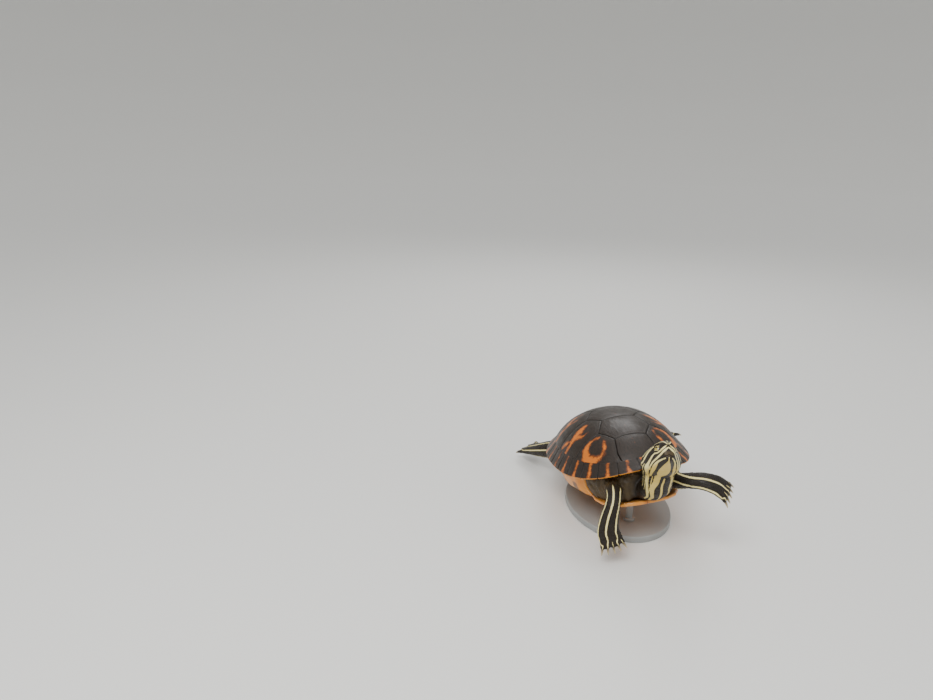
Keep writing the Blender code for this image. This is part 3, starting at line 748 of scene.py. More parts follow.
@dataclass(frozen=True)
class ShellForm:
    """The surface of the shell, which all its plates lie on."""

    length: float = 0.215
    width: float = 0.160
    height: float = 0.083
    power: float = 2.25  # of the outline, where 2 is an oval
    flare: float = 0.07  # how much wider the rear is
    rim_side: float = 0.031
    rim_front: float = 0.049
    rim_rear: float = 0.037
    marginal_rho: float = 0.86  # where the marginal plates begin, as a share of the way out
    plate: float = 0.0026
    drops: tuple = (0.84, 0.12)  # share of the fall inside the marginals, and how much less at the sides
    arc: float = 0.95  # how much of a quarter circle the dome's section takes
    # Where the belly's underside begins to curve up, and how sharply, at the front and at the rear.
    keel_ends: tuple = ((0.055, 2.4), (0.060, 1.6))

    def unit(self, x: Rows, y: Rows) -> tuple[Rows, Rows, Rows]:
        """Shares of the outline at plan places.

        Args:
            x: Places across.
            y: Places along.

        Returns:
            The share of the half width and of the half length, and the share of the way out to the rim.
        """
        q = y / (self.length / 2)
        p = x / (self.width / 2 * (1 + self.flare * q) / (1 + self.flare * 0.2))
        return p, q, (np.abs(p) ** self.power + np.abs(q) ** self.power) ** (1 / self.power)

    def plan(self, rho: float, turn: Rows) -> tuple[Rows, Rows]:
        """Plan places round the shell.

        Args:
            rho: Share of the way to the rim.
            turn: Angle round the shell, 0 at the front and pi at the rear.

        Returns:
            Places across and along.
        """
        q = -rho * np.sign(np.cos(turn)) * np.abs(np.cos(turn)) ** (2 / self.power)
        p = rho * np.sign(np.sin(turn)) * np.abs(np.sin(turn)) ** (2 / self.power)
        return p * self.width / 2 * (1 + self.flare * q) / (1 + self.flare * 0.2), q * self.length / 2

    def top(self, x: Rows, y: Rows) -> Rows:
        """Height of the outer surface.

        Args:
            x: Plan places across.
            y: Plan places along.

        Returns:
            The heights.
        """
        p, q, rho = self.unit(x, y)
        size = np.maximum(np.hypot(p, q), 1e-9)
        front, rear = np.maximum(0, -q / size), np.maximum(0, q / size)
        rim = (self.rim_side + (self.rim_front - self.rim_side) * front ** 3
               + (self.rim_rear - self.rim_side) * rear ** 3)
        inside = self.drops[0] - self.drops[1] * (p / size) ** 2
        inner = np.minimum(1.0, rho / self.marginal_rho)
        arch = (1 - np.sqrt(1 - (self.arc * inner) ** 2)) / (1 - math.sqrt(1 - self.arc ** 2))
        drop = inside * (0.5 * inner ** 2.3 + 0.5 * arch)
        drop += np.maximum(0, (1 - inside) * (rho - self.marginal_rho) / (1 - self.marginal_rho))
        return self.height - (self.height - rim) * drop

    def on(self, rho: float, turn: float) -> Rows:
        """Place on the outer surface."""
        x, y = self.plan(rho, np.array([turn]))
        return np.array([x[0], y[0], self.top(x, y)[0]])

    def keel(self, y: Rows | float) -> Rows:
        """Height of the belly's underside at places along it."""
        (front, sharp), (rear, soft) = self.keel_ends
        return sharp * np.maximum(0, -y - front) ** 2 + soft * np.maximum(0, y - rear) ** 2


SHELL = ShellForm()


@dataclass
class Scutes:
    """The five vertebral and eight costal plates, each bedded to its seams and barred with rust."""

    frame: dict
    horn: Material
    seams: tuple = (0.045, 0.215, 0.405, 0.600, 0.785, 0.965)
    seam_widths: tuple = (0.34, 0.25, 0.24, 0.23, 0.20, 0.42)
    points: tuple = (0.130, 0.310, 0.500, 0.692)
    point_widths: tuple = (0.33, 0.39, 0.40, 0.36)
    costal_seams: tuple = (0.300, 0.515, 0.735)
    overshoot: float = 1.25
    dome_rho: float = 0.856
    voxel: float = 0.00085
    # Rust marks of the left costal plates: plan places and half widths along each, in millimetres.
    bars: dict = field(default_factory=lambda: {
        1: (((29, -53, 0.6), (30, -60, 1.4), (34, -68, 2.0), (42, -69, 2.6), (49, -62, 3.6), (51, -53, 4.0),
             (46, -46, 3.0), (38, -45, 1.6), (32, -48, 0.4)),
            ((50, -60, 3.0), (60, -64, 1.6), (66, -66, 0.8))),
        2: (((72, -17, 1.6), (62, -18, 2.6), (52, -16, 4.0), (44, -14, 4.6), (37, -13, 2.6)),
            ((52, -16, 3.0), (46, -26, 1.6), (38, -28, 0.4)), ((56, -15, 2.0), (64, -5, 1.0), (70, -2, 0.6))),
        3: (((75, 26, 1.4), (63, 28, 2.0), (50, 27, 3.0), (38, 31, 2.2), (30, 27, 0.6)),
            ((50, 27, 2.0), (42, 19, 1.0), (34, 16, 0.3))),
        4: (((67, 63, 1.2), (53, 65, 1.8), (41, 62, 2.6), (29, 64, 0.8)), ((43, 62, 1.6), (36, 72, 0.6))),
    })

    def plan(self, out: float, along: float) -> tuple[float, float]:
        """Plan place of a corner, from a share of the half width there and of the length."""
        wide = SHELL.width / 2 * math.sqrt(max(0.0, 1 - (1.55 * (along - 0.5)) ** 2))
        return out * wide, (along - 0.5) * SHELL.length

    def vertebral(self, index: int) -> list[tuple[float, float]]:
        """Corners of a vertebral plate.

        Args:
            index: Which plate, 0 at the front.

        Returns:
            Plan places, in order.
        """
        half = [self.plan(self.seam_widths[index], self.seams[index])]
        if index < 4:
            half.append(self.plan(self.point_widths[index], self.points[index]))
        half.append(self.plan(self.seam_widths[index + 1], self.seams[index + 1]))
        return half + [(-x, y) for x, y in reversed(half)]

    def costal(self, index: int) -> list[tuple[float, float]]:
        """Corners of a costal plate of the left side.

        Args:
            index: Which plate, 0 at the front.

        Returns:
            Plan places, in order; the outer ones lie beyond the dome, which cuts the plate off.
        """
        far = self.overshoot
        inner = [self.plan(self.point_widths[index], self.points[index]),
                 self.plan(self.seam_widths[index + 1], self.seams[index + 1])]
        if index == 0:
            first = self.plan(self.seam_widths[0], self.seams[0])
            ahead = -far * SHELL.length / 2
            front = [(far * SHELL.width / 2, ahead), (first[0] / 2, ahead), first]
        else:
            front = [self.plan(far, self.costal_seams[index - 1])]
        if index < 3:
            inner.append(self.plan(self.point_widths[index + 1], self.points[index + 1]))
            rear = [self.plan(far, self.costal_seams[index])]
        else:
            rear = [self.plan(self.seam_widths[5], self.seams[5]),
                    (far * SHELL.width / 2, far * SHELL.length / 2)]
        return front + inner + rear

    def seam_distance(self, x: Rows, y: Rows, corners: list) -> Rows:
        """Distance in plan to the nearest seam round a plate.

        Args:
            x: Places across.
            y: Places along.
            corners: The plate's corners.

        Returns:
            Millimetres, for each place.
        """
        best = np.full(len(x), 1e9)
        for (ax, ay), (bx, by) in zip(corners, corners[1:] + corners[:1]):
            dx, dy = bx - ax, by - ay
            t = np.clip(((x - ax) * dx + (y - ay) * dy) / (dx * dx + dy * dy), 0, 1)
            best = np.minimum(best, np.hypot(x - ax - t * dx, y - ay - t * dy))
        _, _, rho = SHELL.unit(x, y)
        reach = np.hypot(x, y) / np.maximum(rho, 1e-6)
        return np.minimum(best, np.maximum(0, (self.dome_rho - rho) * reach)) / MM

    def mark(self, x: Rows, y: Rows, lines: tuple) -> Rows:
        """Distance in plan to the marks that are drawn along lines.

        Args:
            x: Places across.
            y: Places along.
            lines: Rows of place and half width in millimetres.

        Returns:
            Millimetres outside the marks, negative inside them.
        """
        path = np.vstack([through(np.array(line, float), 50) for line in lines])
        across, along = (at[:, None] / MM - path[None, :, axis] for axis, at in enumerate((x, y)))
        return (np.hypot(across, along) - path[None, :, 2]).min(axis=1)

    def dress(self, piece: Object, corners: list, bar: tuple | None, sign: int) -> None:
        """Beds a plate on the shell's surface, rounds its edges and stores its markings.

        Args:
            piece: The plate, already an even mesh.
            corners: Its corners in plan.
            bar: The lines of its rust mark, or None for a vertebral plate.
            sign: 1 on the left side or the midline, -1 on the right.
        """
        here = level(coords(piece))
        here = smoothed(here, edges_of(piece), 3)
        x, y = here[:, 0], here[:, 1]
        top = SHELL.top(x, y)
        deep = (top - here[:, 2]) / MM
        outer = smoothstep(2.2, 1.2, deep)
        edge = self.seam_distance(x, y, corners)
        round_off = 0.55 * (1 - np.clip(edge / 1.4, 0, 1)) ** 2 + 0.10 * np.exp(-((edge - 2.8) / 0.9) ** 2)
        swell = 0.35 * (1 - np.exp(-edge / 7.0)) - 0.35
        wrinkle = 0.10 * noise_at(here / (5.0 * MM) / np.array([0.5, 2.4, 1.0]) + 3.7)
        lift = (swell - round_off + wrinkle * np.clip(edge / 3, 0, 1)) * MM
        here[:, 2] = here[:, 2] + outer * (top + lift - here[:, 2])
        move_to(piece, carried(BODY, here))
        if bar:
            mark = self.mark(x * sign, y, bar)
        else:
            mark = np.maximum(np.abs(x) / MM - 0.4, 3.0 - edge) + 2.0
        attach(piece, edge=edge, mark=mark, under=0.0, smudge=9.0)

    def build(self) -> None:
        """Builds the thirteen plates."""
        jobs = [(f"scute_vertebral_{i + 1}", self.vertebral(i), None, 1) for i in range(5)]
        for i in range(4):
            corners = self.costal(i)
            for side in Side:
                placed = [(x * side.value, y) for x, y in corners]
                jobs.append((f"scute_costal_{side.word}_{i + 1}", placed, self.bars[i + 1], side.value))
        for node, corners, bar, sign in jobs:
            piece = copy_of(self.frame, node, node.replace("scute", "plate"))
            remeshed(piece, self.voxel)
            self.dress(piece, corners, bar, sign)
            finish_piece(piece, self.horn, Slot.SHELL, node)


@dataclass
class Marginals:
    """The nuchal plate and the twelve marginal plates of each side, dark above and orange below."""

    horn: Material
    count: int = 12
    nuchal_half: float = 0.0055
    steps: int = 14
    smudge: float = 5.2  # half width of the dark smudge under each seam, in millimetres

    def section(self, turn: float) -> Rows:
        """Closed section of the rim, from its inner edge over the top and back below.

        Args:
            turn: Its place round the shell, as an angle.

        Returns:
            Its points: 6 on top, 4 round the edge, 1 under it, 4 below, and 5 that close it inside.
        """
        inner, edge = SHELL.on(SHELL.marginal_rho, turn), SHELL.on(1.0, turn)
        p, q, _ = SHELL.unit(edge[0], edge[1])
        flank = p * p / (p * p + q * q)
        out = np.array([edge[0] - inner[0], edge[1] - inner[1], 0.0])
        out /= np.linalg.norm(out)
        up = np.array([0, 0, MM])
        foot = np.array([inner[0], inner[1], 0.0]) + out * 0.012 * (0.65 - 0.55 * flank ** 2)
        foot[2] = edge[2] - 0.0010 - (0.0045 + 0.0065 * flank ** 2) * flank ** 2 + (1 - flank) * 0.0045
        top = [SHELL.on(rho, turn) - up * dip for rho, dip in (
            (0.8420, 0.34), (0.857, 0.10), (0.885, 0.02), (0.920, 0.28), (0.950, 0.40), (0.975, 0.22))]
        rim = [edge - out * i * MM - up * d
               for i, d in ((0.55, 0.12), (0.12, 0.75), (0.20, 1.55), (0.85, 2.30))]
        low = edge - out * 0.0022 - up * 2.85
        under = [low + (foot - low) * s - up * 0.5 * math.sin(math.pi * s) * flank
                 for s in (0.2, 0.45, 0.7, 0.92)]
        back = inner - up * (SHELL.plate / MM + 0.7)
        lap = inner - out * 0.0026 - up * 1.4
        close_up = [foot + (back - foot) * 0.15, foot + (back - foot) * 0.6, back + out * 0.0004, lap,
                    inner - up * 1.0]
        ring = np.array(top + rim + [low] + under + close_up)
        ceiling = SHELL.top(ring[:, 0], ring[:, 1]) - 1.7 * MM
        ring[11:17, 2] = np.minimum(ring[11:17, 2], ceiling[11:17])
        return ring

    def stations(self) -> list[float]:
        """Places of the seams between plates, evenly along the rim.

        Returns:
            Angles round the shell, from the nuchal plate to the tail.
        """
        turns = np.linspace(0.0, math.pi, 2001)
        x, y = SHELL.plan(1.0, turns)
        run = np.concatenate([[0], np.cumsum(np.hypot(np.diff(x), np.diff(y)))])
        marks = np.linspace(self.nuchal_half, run[-1], self.count + 1)
        return list(np.interp(marks, run, turns))

    def plate(self, name: str, start: float, end: float, sign: int, mirrored: bool) -> Object:
        """One plate between two places round the rim.

        Args:
            name: The object's name.
            start: Where it begins.
            end: Where it ends.
            sign: 1 on the left side, -1 on the right.
            mirrored: Whether it crosses the midline, as the nuchal plate does.

        Returns:
            The plate, with its markings.
        """
        low = -start if mirrored else start
        rings, edge, across = [], [], []
        width = np.linalg.norm(SHELL.on(1.0, end) - SHELL.on(1.0, low)) / MM
        gaps = [0.12, 0.25, 0.7, 1.6]
        places = gaps + list(np.linspace(3.0, width - 3.0, self.steps)) + [width - g for g in reversed(gaps)]
        for place in places:
            near = min(place, width - place)
            turn = low + (end - low) * place / width
            ring = self.section(abs(turn))
            if turn < 0:
                ring[:, 0] *= -1
            tuck = 0.10 * max(0.0, 1 - near / 1.6) ** 2
            middle = ring.mean(axis=0)
            ring = ring + (middle - ring) * tuck
            notch = 0.45 * MM * max(0.0, 1 - near / 2.2) ** 2
            flat = middle * np.array([1, 1, 0])
            ring[4:11] -= flat / np.linalg.norm(flat) * notch
            rings.append(ring)
            edge.append(near)
            across.append(abs(place - width / 2))
        if sign < 0:
            rings = [ring * np.array([-1, 1, 1]) for ring in rings]
        piece = skinned(name, [carried(BODY, ring) for ring in rings])
        sides = len(rings[0])
        order = np.tile(np.arange(sides), len(rings))
        edges = np.repeat(edge, sides)
        smudge = np.hypot(edges / self.smudge, (order - 12.0) / 2.6)
        down = np.clip((order - 3) / 4, 0, 1)
        attach(piece, edge=np.minimum(edges, np.where(order < 1, 0.2, 9.0)),
               mark=np.repeat(across, sides) - 1.4 - 1.6 * down,
               under=(order >= 8) & (order <= 17), smudge=(smudge - 1) * 4.0)
        apply_modifier(piece, "SUBSURF", levels=2, render_levels=2)
        return piece

    def build(self) -> None:
        """Builds the ring of plates."""
        turns = self.stations()
        nuchal = self.plate("plate_nuchal", turns[0], turns[0], 1, True)
        finish_piece(nuchal, self.horn, Slot.SHELL, "marginals_left", "marginals_right")
        for side in Side:
            for i in range(self.count):
                name = f"plate_marginal_{side.word}_{i + 1}"
                piece = self.plate(name, turns[i], turns[i + 1], side.value, False)
                finish_piece(piece, self.horn, Slot.SHELL, f"marginals_{side.word}")


@dataclass
class Bone:
    """The bony box under the plates, all in the dark seam colour: painted shade seen through the gaps between
    the plates, as the dark depth of their seams.
    """

    frame: dict
    horn: Material
    voxel: float = 0.0024

    def build(self) -> None:
        """Builds the box."""
        piece = copy_of(self.frame, "trunk", "shell_bone")
        remeshed(piece, self.voxel)
        here = level(coords(piece))
        sink = 0.35 + 4.0 * smoothstep(38, 54, np.abs(here[:, 1]) / MM)
        move_to(piece, coords(piece) - normals_of(piece) * (sink * MM)[:, None])
        # edge 0 gives the whole box the dark seam colour, as painted shade behind the gaps between plates
        attach(piece, edge=0.0, mark=9.0, under=0.0, smudge=9.0)
        finish_piece(piece, self.horn, Slot.SHELL)


@dataclass
class Belly:
    """The belly plate with the seams of its twelve scutes, and the two bridges."""

    frame: dict
    horn: Material
    voxel: float = 0.0010
    wall_voxel: float = 0.00065
    # Where each cross seam meets the midline, and how much further back it is at the sides, in millimetres.
    cross_seams: tuple = ((-74.0, -13.0), (-52.0, 3.0), (-13.0, -2.0), (36.0, 5.0), (64.0, 9.0))
    flare: tuple = (2.4, 0.0, 3.2)  # how far a bridge's upper edge reaches out and up under the marginals
    # Dark smudges: places and radii, in millimetres; across and along the plate, along and up a bridge.
    blots: tuple = ((34, -82, 4), (-33, -80, 3.5), (44, -38, 4.5), (-45, -36, 4.0), (41, 30, 4),
                    (-42, 33, 3.5))
    spots: tuple = ((-33, 12, 4.2), (8, 15, 4.5), (-8, 5, 2.8), (30, 13, 3.6))

    def seam_distance(self, x: Rows, y: Rows) -> Rows:
        """Distance to the nearest seam of the belly plate.

        Args:
            x: Places across.
            y: Places along.

        Returns:
            Millimetres, for each place.
        """
        best = np.abs(x) / MM
        out = np.abs(x) / 0.054
        for middle, sweep in self.cross_seams:
            best = np.minimum(best, np.abs(y / MM - (middle + sweep * out ** 1.3)))
        return best

    def soot(self, a: Rows, b: Rows, smudges: tuple, squash: float = 1.0) -> Rows:
        """Distance to the nearest dark smudge.

        Args:
            a: Places along the first direction, in millimetres.
            b: Places along the second.
            smudges: Places and radii.
            squash: How much a smudge is squashed along the first direction.

        Returns:
            Millimetres outside a smudge, negative inside it.
        """
        far = np.full(len(a), 9.0)
        for first, second, radius in smudges:
            far = np.minimum(far, np.hypot(a - first, (b - second) * squash) - radius)
        return far

    def plate(self) -> None:
        """Builds the belly plate."""
        piece = copy_of(self.frame, "plastron", "belly_plate")
        remeshed(piece, self.voxel)
        here = level(coords(piece))
        here = smoothed(here, edges_of(piece), 40)
        x, y, z = here.T
        height = (z - SHELL.keel(y)) / MM
        below = smoothstep(2.4, 1.2, height)
        seam = self.seam_distance(x, y)
        here[:, 2] += 0.22 * np.exp(-(seam / 0.9) ** 2) * below * MM
        move_to(piece, carried(BODY, here))
        attach(piece, seam=seam, smudge=self.soot(x / MM, y / MM, self.blots),
               inner=smoothstep(3.2, 4.2, height) * 0.75)
        finish_piece(piece, self.horn, Slot.PLASTRON, "plastron")

    def bridge(self, side: Side) -> None:
        """Builds the wall between the belly plate and the marginals of one side.

        Args:
            side: Which side.
        """
        wall = copy_of(self.frame, f"bridge_{side.word}", f"bridge_wall_{side.word}")
        remeshed(wall, self.wall_voxel)
        here = level(coords(wall))
        here = smoothed(here, edges_of(wall), 10)
        _, y, z = here.T
        here[:, 0] -= side.value * 2.6 * MM * smoothstep(37, 45.5, np.abs(y) / MM) ** 2
        slot = np.round((y - y.min()) / MM).astype(int)
        crest = np.full(slot.max() + 1, z.min())
        np.maximum.at(crest, slot, z)
        flare = smoothstep(7.0, 0.5, (crest[slot] - z) / MM) ** 1.5
        here += flare[:, None] * self.flare * np.array([side.value, 1, 1]) * MM
        seam = np.abs(y / MM + 6.0 - 6.0 * (z / 0.02))
        here[:, 0] -= side.value * 0.20 * MM * np.exp(-(seam / 0.9) ** 2)
        move_to(wall, carried(BODY, here))
        attach(wall, seam=seam, smudge=self.soot(y / MM, z / MM, self.spots, 0.8), inner=0.0)
        finish_piece(wall, self.horn, Slot.PLASTRON, f"bridge_{side.word}")

    def build(self) -> None:
        """Builds the belly plate and the bridges."""
        self.plate()
        for side in Side:
            self.bridge(side)


# ---------------------------------------------------------------- flesh


@dataclass(frozen=True)
class Station:
    """One place along a limb or the neck, in the animal's own frame."""

    centre: tuple[float, float, float]
    wide: float
    thick: float
    flat: tuple[float, float, float] = (0.0, 0.0, 1.0)

    def row(self) -> Rows:
        """The station as a row of numbers, with its flat direction one long."""
        flat = np.array(self.flat, float)
        return np.array([*self.centre, self.wide, self.thick, *(flat / np.linalg.norm(flat))])


@dataclass
class Path:
    """A tapering form swept through stations, such as a neck, a leg or a tail."""

    name: str
    stations: list[Station]
    count: int = 60
    sides: int = 28
    tip_steps: int = 4

    def __post_init__(self) -> None:
        """Works out the places, directions and sizes along the path, carried into the pose."""
        rows = through(np.array([s.row() for s in self.stations]), self.count)
        turned = np.array(BODY)[:3, :3]
        self.centres = carried(BODY, rows[:, :3])
        self.wide, self.thick = rows[:, 3], rows[:, 4]
        along = np.gradient(self.centres, axis=0)
        self.along = along / np.linalg.norm(along, axis=1)[:, None]
        side = np.cross(self.along, rows[:, 5:8] @ turned.T)
        self.side = side / np.linalg.norm(side, axis=1)[:, None]
        self.flat = np.cross(self.side, self.along)
        run = np.linalg.norm(np.diff(self.centres, axis=0), axis=1)
        self.run = np.concatenate([[0], np.cumsum(run)]) / MM

    def ring(self, index: int) -> Rows:
        """Points round the section at one place along the path."""
        angle = np.linspace(0, 2 * math.pi, self.sides, endpoint=False)[:, None]
        return (self.centres[index] + self.wide[index] * np.cos(angle) * self.side[index]
                + self.thick[index] * np.sin(angle) * self.flat[index])

    def body(self) -> Object:
        """The closed form, with its far end rounded off.

        Returns:
            The form.
        """
        rings = [self.ring(i) for i in range(self.count)]
        last = self.count - 1
        for step in range(1, self.tip_steps + 1):
            angle = step / (self.tip_steps + 0.35) * math.pi / 2
            ring = self.ring(last) - self.centres[last]
            rings.append(self.centres[last] + ring * math.cos(angle)
                         + self.along[last] * self.thick[last] * math.sin(angle))
        return skinned(self.name, rings)

    def surface(self, share: float, angle: float, lift: float = 1.0) -> Rows:
        """Place on the form.

        Args:
            share: Share of the way along.
            angle: Degrees from the middle of its flat face, 90 at its side.
            lift: Share of its radius, 1 on its surface.

        Returns:
            The place, in the pose.
        """
        t = share * (self.count - 1)
        i = min(int(t), self.count - 2)
        f = t - i
        turn = math.radians(angle)
        across, up = math.sin(turn), math.cos(turn)
        ends = [self.centres[k] + lift * (self.wide[k] * across * self.side[k]
                                          + self.thick[k] * up * self.flat[k]) for k in (i, i + 1)]
        return ends[0] * (1 - f) + ends[1] * f

    def locate(self, places: Rows) -> tuple[Rows, Rows, Rows]:
        """Where places are on the form.

        Args:
            places: The places.

        Returns:
            Share of the way along, angle in radians, and distance out as a share of the form's own radius.
        """
        nearest = np.zeros(len(places), dtype=int)
        for start in range(0, len(places), BATCH):
            part = places[start:start + BATCH]
            gap = ((part[:, None, :] - self.centres[None, :, :]) ** 2).sum(axis=2)
            nearest[start:start + BATCH] = gap.argmin(axis=1)
        off = places - self.centres[nearest]
        across = (off * self.side[nearest]).sum(axis=1) / self.wide[nearest]
        up = (off * self.flat[nearest]).sum(axis=1) / self.thick[nearest]
        beyond = (off * self.along[nearest]).sum(axis=1) / self.thick[nearest]
        out = np.sqrt(across ** 2 + up ** 2 + beyond ** 2)
        return nearest / (self.count - 1), np.arctan2(across, up), out


@dataclass
class Head:
    """The head: its form, mouth, nostrils, eye sockets with lids, eardrums and stripes. Millimetres."""

    length: float = 48.0
    width: float = 39.0
    height: float = 28.0
    centre: tuple = (0.0058, -0.1434, 0.0709)
    turn: float = 11.0
    pitch: float = 38.5
    # share of the length from the snout; half width, height over the axis and depth under it, as shares
    sections: tuple = (
        (0.000, 0.075, 0.150, 0.230), (0.012, 0.118, 0.240, 0.330), (0.050, 0.160, 0.320, 0.390),
        (0.130, 0.205, 0.410, 0.420), (0.230, 0.255, 0.470, 0.435), (0.340, 0.315, 0.505, 0.445),
        (0.460, 0.388, 0.520, 0.460), (0.600, 0.462, 0.525, 0.480), (0.740, 0.500, 0.520, 0.490),
        (0.870, 0.490, 0.500, 0.490), (0.960, 0.460, 0.475, 0.475))
    eye: tuple = (6.4, 13.6, 4.2)  # out, back and up
    eye_radius: float = 4.2
    eye_axis: tuple = (0.71, -0.62, 0.32)
    lid: float = 0.50  # how far the lids stand off the eyeball
    opening: tuple = (3.4, 2.5)  # between the lids, along and across
    nostril: tuple = (1.45, 3.0)  # out and up
    ear: tuple = (33.5, -0.8, 3.3)  # back, up and radius
    mouth_line: tuple = ((-1.0, -6.2), (1.3, -6.9), (6.3, -7.5), (12.9, -7.0), (17.6, -7.7), (22.9, -8.9),
                         (28.0, -10.4))  # back and up
    mouth_end: float = 27.2
    mouth_depth: float = 0.62
    mouth_soft: float = 0.36  # half width of the mouth's groove
    nostril_depth: float = 1.1
    ear_depth: float = 0.42
    fold_depth: float = 0.26  # of the crease round the lids
    # Stripes of one side, mirrored on the other: (out, back, up) along each, and half widths along it.
    stripes: tuple = (
        # the arrow from the snout back to the jaw's corner
        (((0.2, 0.0, 1.9), (3.6, 0.2, -0.9), (6.8, 4.2, -3.7), (9.4, 11.1, -5.3), (11.3, 16.4, -6.2),
          (12.4, 20.5, -7.3), (13.3, 25.0, -8.7), (13.8, 30.0, -10.0)),
         (0.55, 1.05, 1.10, 1.05, 0.90, 0.75, 0.80, 1.20)),
        # snout to eye
        (((1.8, 0.0, 3.6), (4.8, 1.0, 1.6), (7.4, 4.8, -0.2), (9.3, 9.4, -0.5), (10.8, 13.0, 0.1)),
         (0.45, 0.90, 0.90, 0.75, 0.70)),
        # eye to neck
        (((10.8, 12.9, 0.3), (12.7, 17.3, -1.4), (14.2, 21.0, -3.9), (15.4, 25.8, -6.4),
          (16.0, 29.5, -7.8), (15.4, 34.0, -8.9), (14.0, 40.0, -10.2), (13.0, 46.0, -10.8)),
         (0.75, 1.00, 1.10, 1.45, 2.30, 2.60, 1.80, 1.50)),
        # behind the eye
        (((10.6, 17.0, 8.6), (12.7, 19.8, 7.1), (16.0, 24.4, 3.7), (17.6, 27.8, 0.7), (18.6, 31.5, -0.9),
          (19.2, 36.3, -1.5), (18.6, 45.0, -0.8)), (0.6, 1.05, 1.15, 1.10, 0.95, 0.90, 0.80)),
        # temple
        (((11.2, 19.5, 10.2), (14.6, 24.0, 7.7), (16.9, 28.6, 5.0), (18.0, 33.0, 3.4), (18.2, 44.0, 4.2)),
         (0.35, 0.50, 0.55, 0.50, 0.45)),
        # under the ear
        (((18.0, 30.5, -4.6), (18.6, 36.0, -5.4), (18.0, 42.0, -5.6), (17.0, 47.0, -5.6)),
         (0.35, 0.55, 0.65, 0.60)),
        # lower jaw
        (((3.4, 2.0, -8.5), (6.4, 7.6, -8.4), (8.8, 14.0, -8.5), (9.8, 19.8, -9.7), (10.4, 27.0, -11.1),
          (10.8, 34.0, -12.1), (10.2, 44.0, -12.3)), (0.55, 0.80, 1.15, 1.90, 1.90, 1.30, 1.10)),
        # brow
        (((1.2, 0.8, 5.4), (3.4, 4.0, 8.9), (5.4, 9.0, 10.6), (7.4, 15.0, 11.6), (9.2, 21.0, 12.0),
          (10.4, 30.0, 11.8), (11.0, 38.0, 11.4), (11.2, 46.0, 10.8)),
         (0.40, 0.55, 0.50, 0.60, 0.75, 0.75, 0.65, 0.60)),
        # side of the crown
        (((4.8, 22.0, 14.0), (5.4, 30.0, 14.0), (5.8, 38.0, 13.4), (6.0, 46.0, 12.6)),
         (0.25, 0.40, 0.40, 0.40)),
    )
    # Stripes of the midline: (out, back, up) and half widths, as above.
    midline: tuple = (
        # crown
        (((0.0, 0.4, 5.2), (0.0, 4.0, 9.6), (0.0, 12.0, 13.0), (0.0, 24.0, 14.6), (0.0, 36.0, 14.4),
          (0.0, 46.0, 13.2)), (0.30, 0.40, 0.45, 0.60, 0.60, 0.55)),
        # throat
        (((0.0, 0.4, -8.3), (0.0, 2.9, -10.9), (0.0, 6.0, -11.8), (0.1, 12.0, -12.3), (0.3, 18.0, -12.7),
          (0.4, 25.0, -13.2), (0.0, 31.0, -13.5), (-0.6, 35.5, -13.7)),
         (0.35, 0.60, 1.50, 3.20, 4.50, 5.60, 5.70, 4.20)),
    )

    def __post_init__(self) -> None:
        """Works out the head's frame: it stays level while the body banks."""
        level = Matrix.Rotation(PITCH, 4, "X") @ Matrix.Rotation(ROLL, 4, "Y")
        self.matrix = (BODY @ Matrix.Translation(self.centre) @ level
                       @ Matrix.Rotation(math.radians(-self.turn), 4, "Z")
                       @ Matrix.Rotation(math.radians(-self.pitch) - PITCH, 4, "X"))

    def world(self, out: Rows) -> Rows:
        """Places in the model's frame of rows of (left, back from the snout, up) in millimetres."""
        rows = np.atleast_2d(np.array(out, float)) - np.array([0.0, self.length / 2, 0.0])
        return carried(self.matrix, rows * MM)

    def local(self, places: Rows) -> Rows:
        """Rows of (left, back from the snout, up) in millimetres of places in the model's frame."""
        return carried(self.matrix.inverted(), places) / MM + np.array([0.0, self.length / 2, 0.0])

    def body(self) -> list[Object]:
        """The head's closed form, and the two swellings that the lids are made of.

        Returns:
            The three forms.
        """
        rows = through(np.array(self.sections), 56)
        angle = (np.arange(56) + 0.5) * 2 * math.pi / 56
        c, s = np.cos(angle), np.sin(angle)
        rings = []
        for along, wide, over, under in rows:
            high = np.where(s > 0, over, under) * self.height
            rings.append(self.world(np.column_stack([
                wide * self.width * np.sign(c) * np.abs(c) ** 0.85, np.full(len(c), along * self.length),
                high * np.sign(s) * np.abs(s) ** 0.86])))
        made = [skinned("head_form", rings)]
        for side in Side:
            deselect()
            bpy.ops.mesh.primitive_ico_sphere_add(subdivisions=4, radius=(self.eye_radius + self.lid) * MM)
            ball = bpy.context.object
            move_to(ball, coords(ball) + self.world(self.eye_place(side))[0])
            made.append(ball)
        return made

    def eye_place(self, side: Side) -> tuple[float, float, float]:
        """Centre of an eyeball."""
        return self.eye[0] * side.value, self.eye[1], self.eye[2]

    def mouth_height(self, back: Rows) -> Rows:
        """Height of the mouth's line at places back from the snout."""
        return np.interp(back, *np.transpose(self.mouth_line))

    def holds(self, at: Rows, back: float) -> Rows:
        """Whether each place, in its frame, is on the head, up to so many millimetres from the snout."""
        return (at[:, 1] < back) & (np.abs(at[:, 0]) < 25) & (np.abs(at[:, 2]) < 18)

    def eye_frame(self, side: Side) -> tuple[Rows, Rows, Rows]:
        """Directions of an eye in the head's frame.

        Args:
            side: Which eye.

        Returns:
            Outwards, back along the lids, and up across them.
        """
        axis = np.array([self.eye_axis[0] * side.value, self.eye_axis[1], self.eye_axis[2]])
        axis /= np.linalg.norm(axis)
        back = np.array([0.0, 1.0, 0.10])
        back -= axis * (back @ axis)
        back /= np.linalg.norm(back)
        up = np.cross(axis, back)
        return axis, back, up * np.sign(up[2])

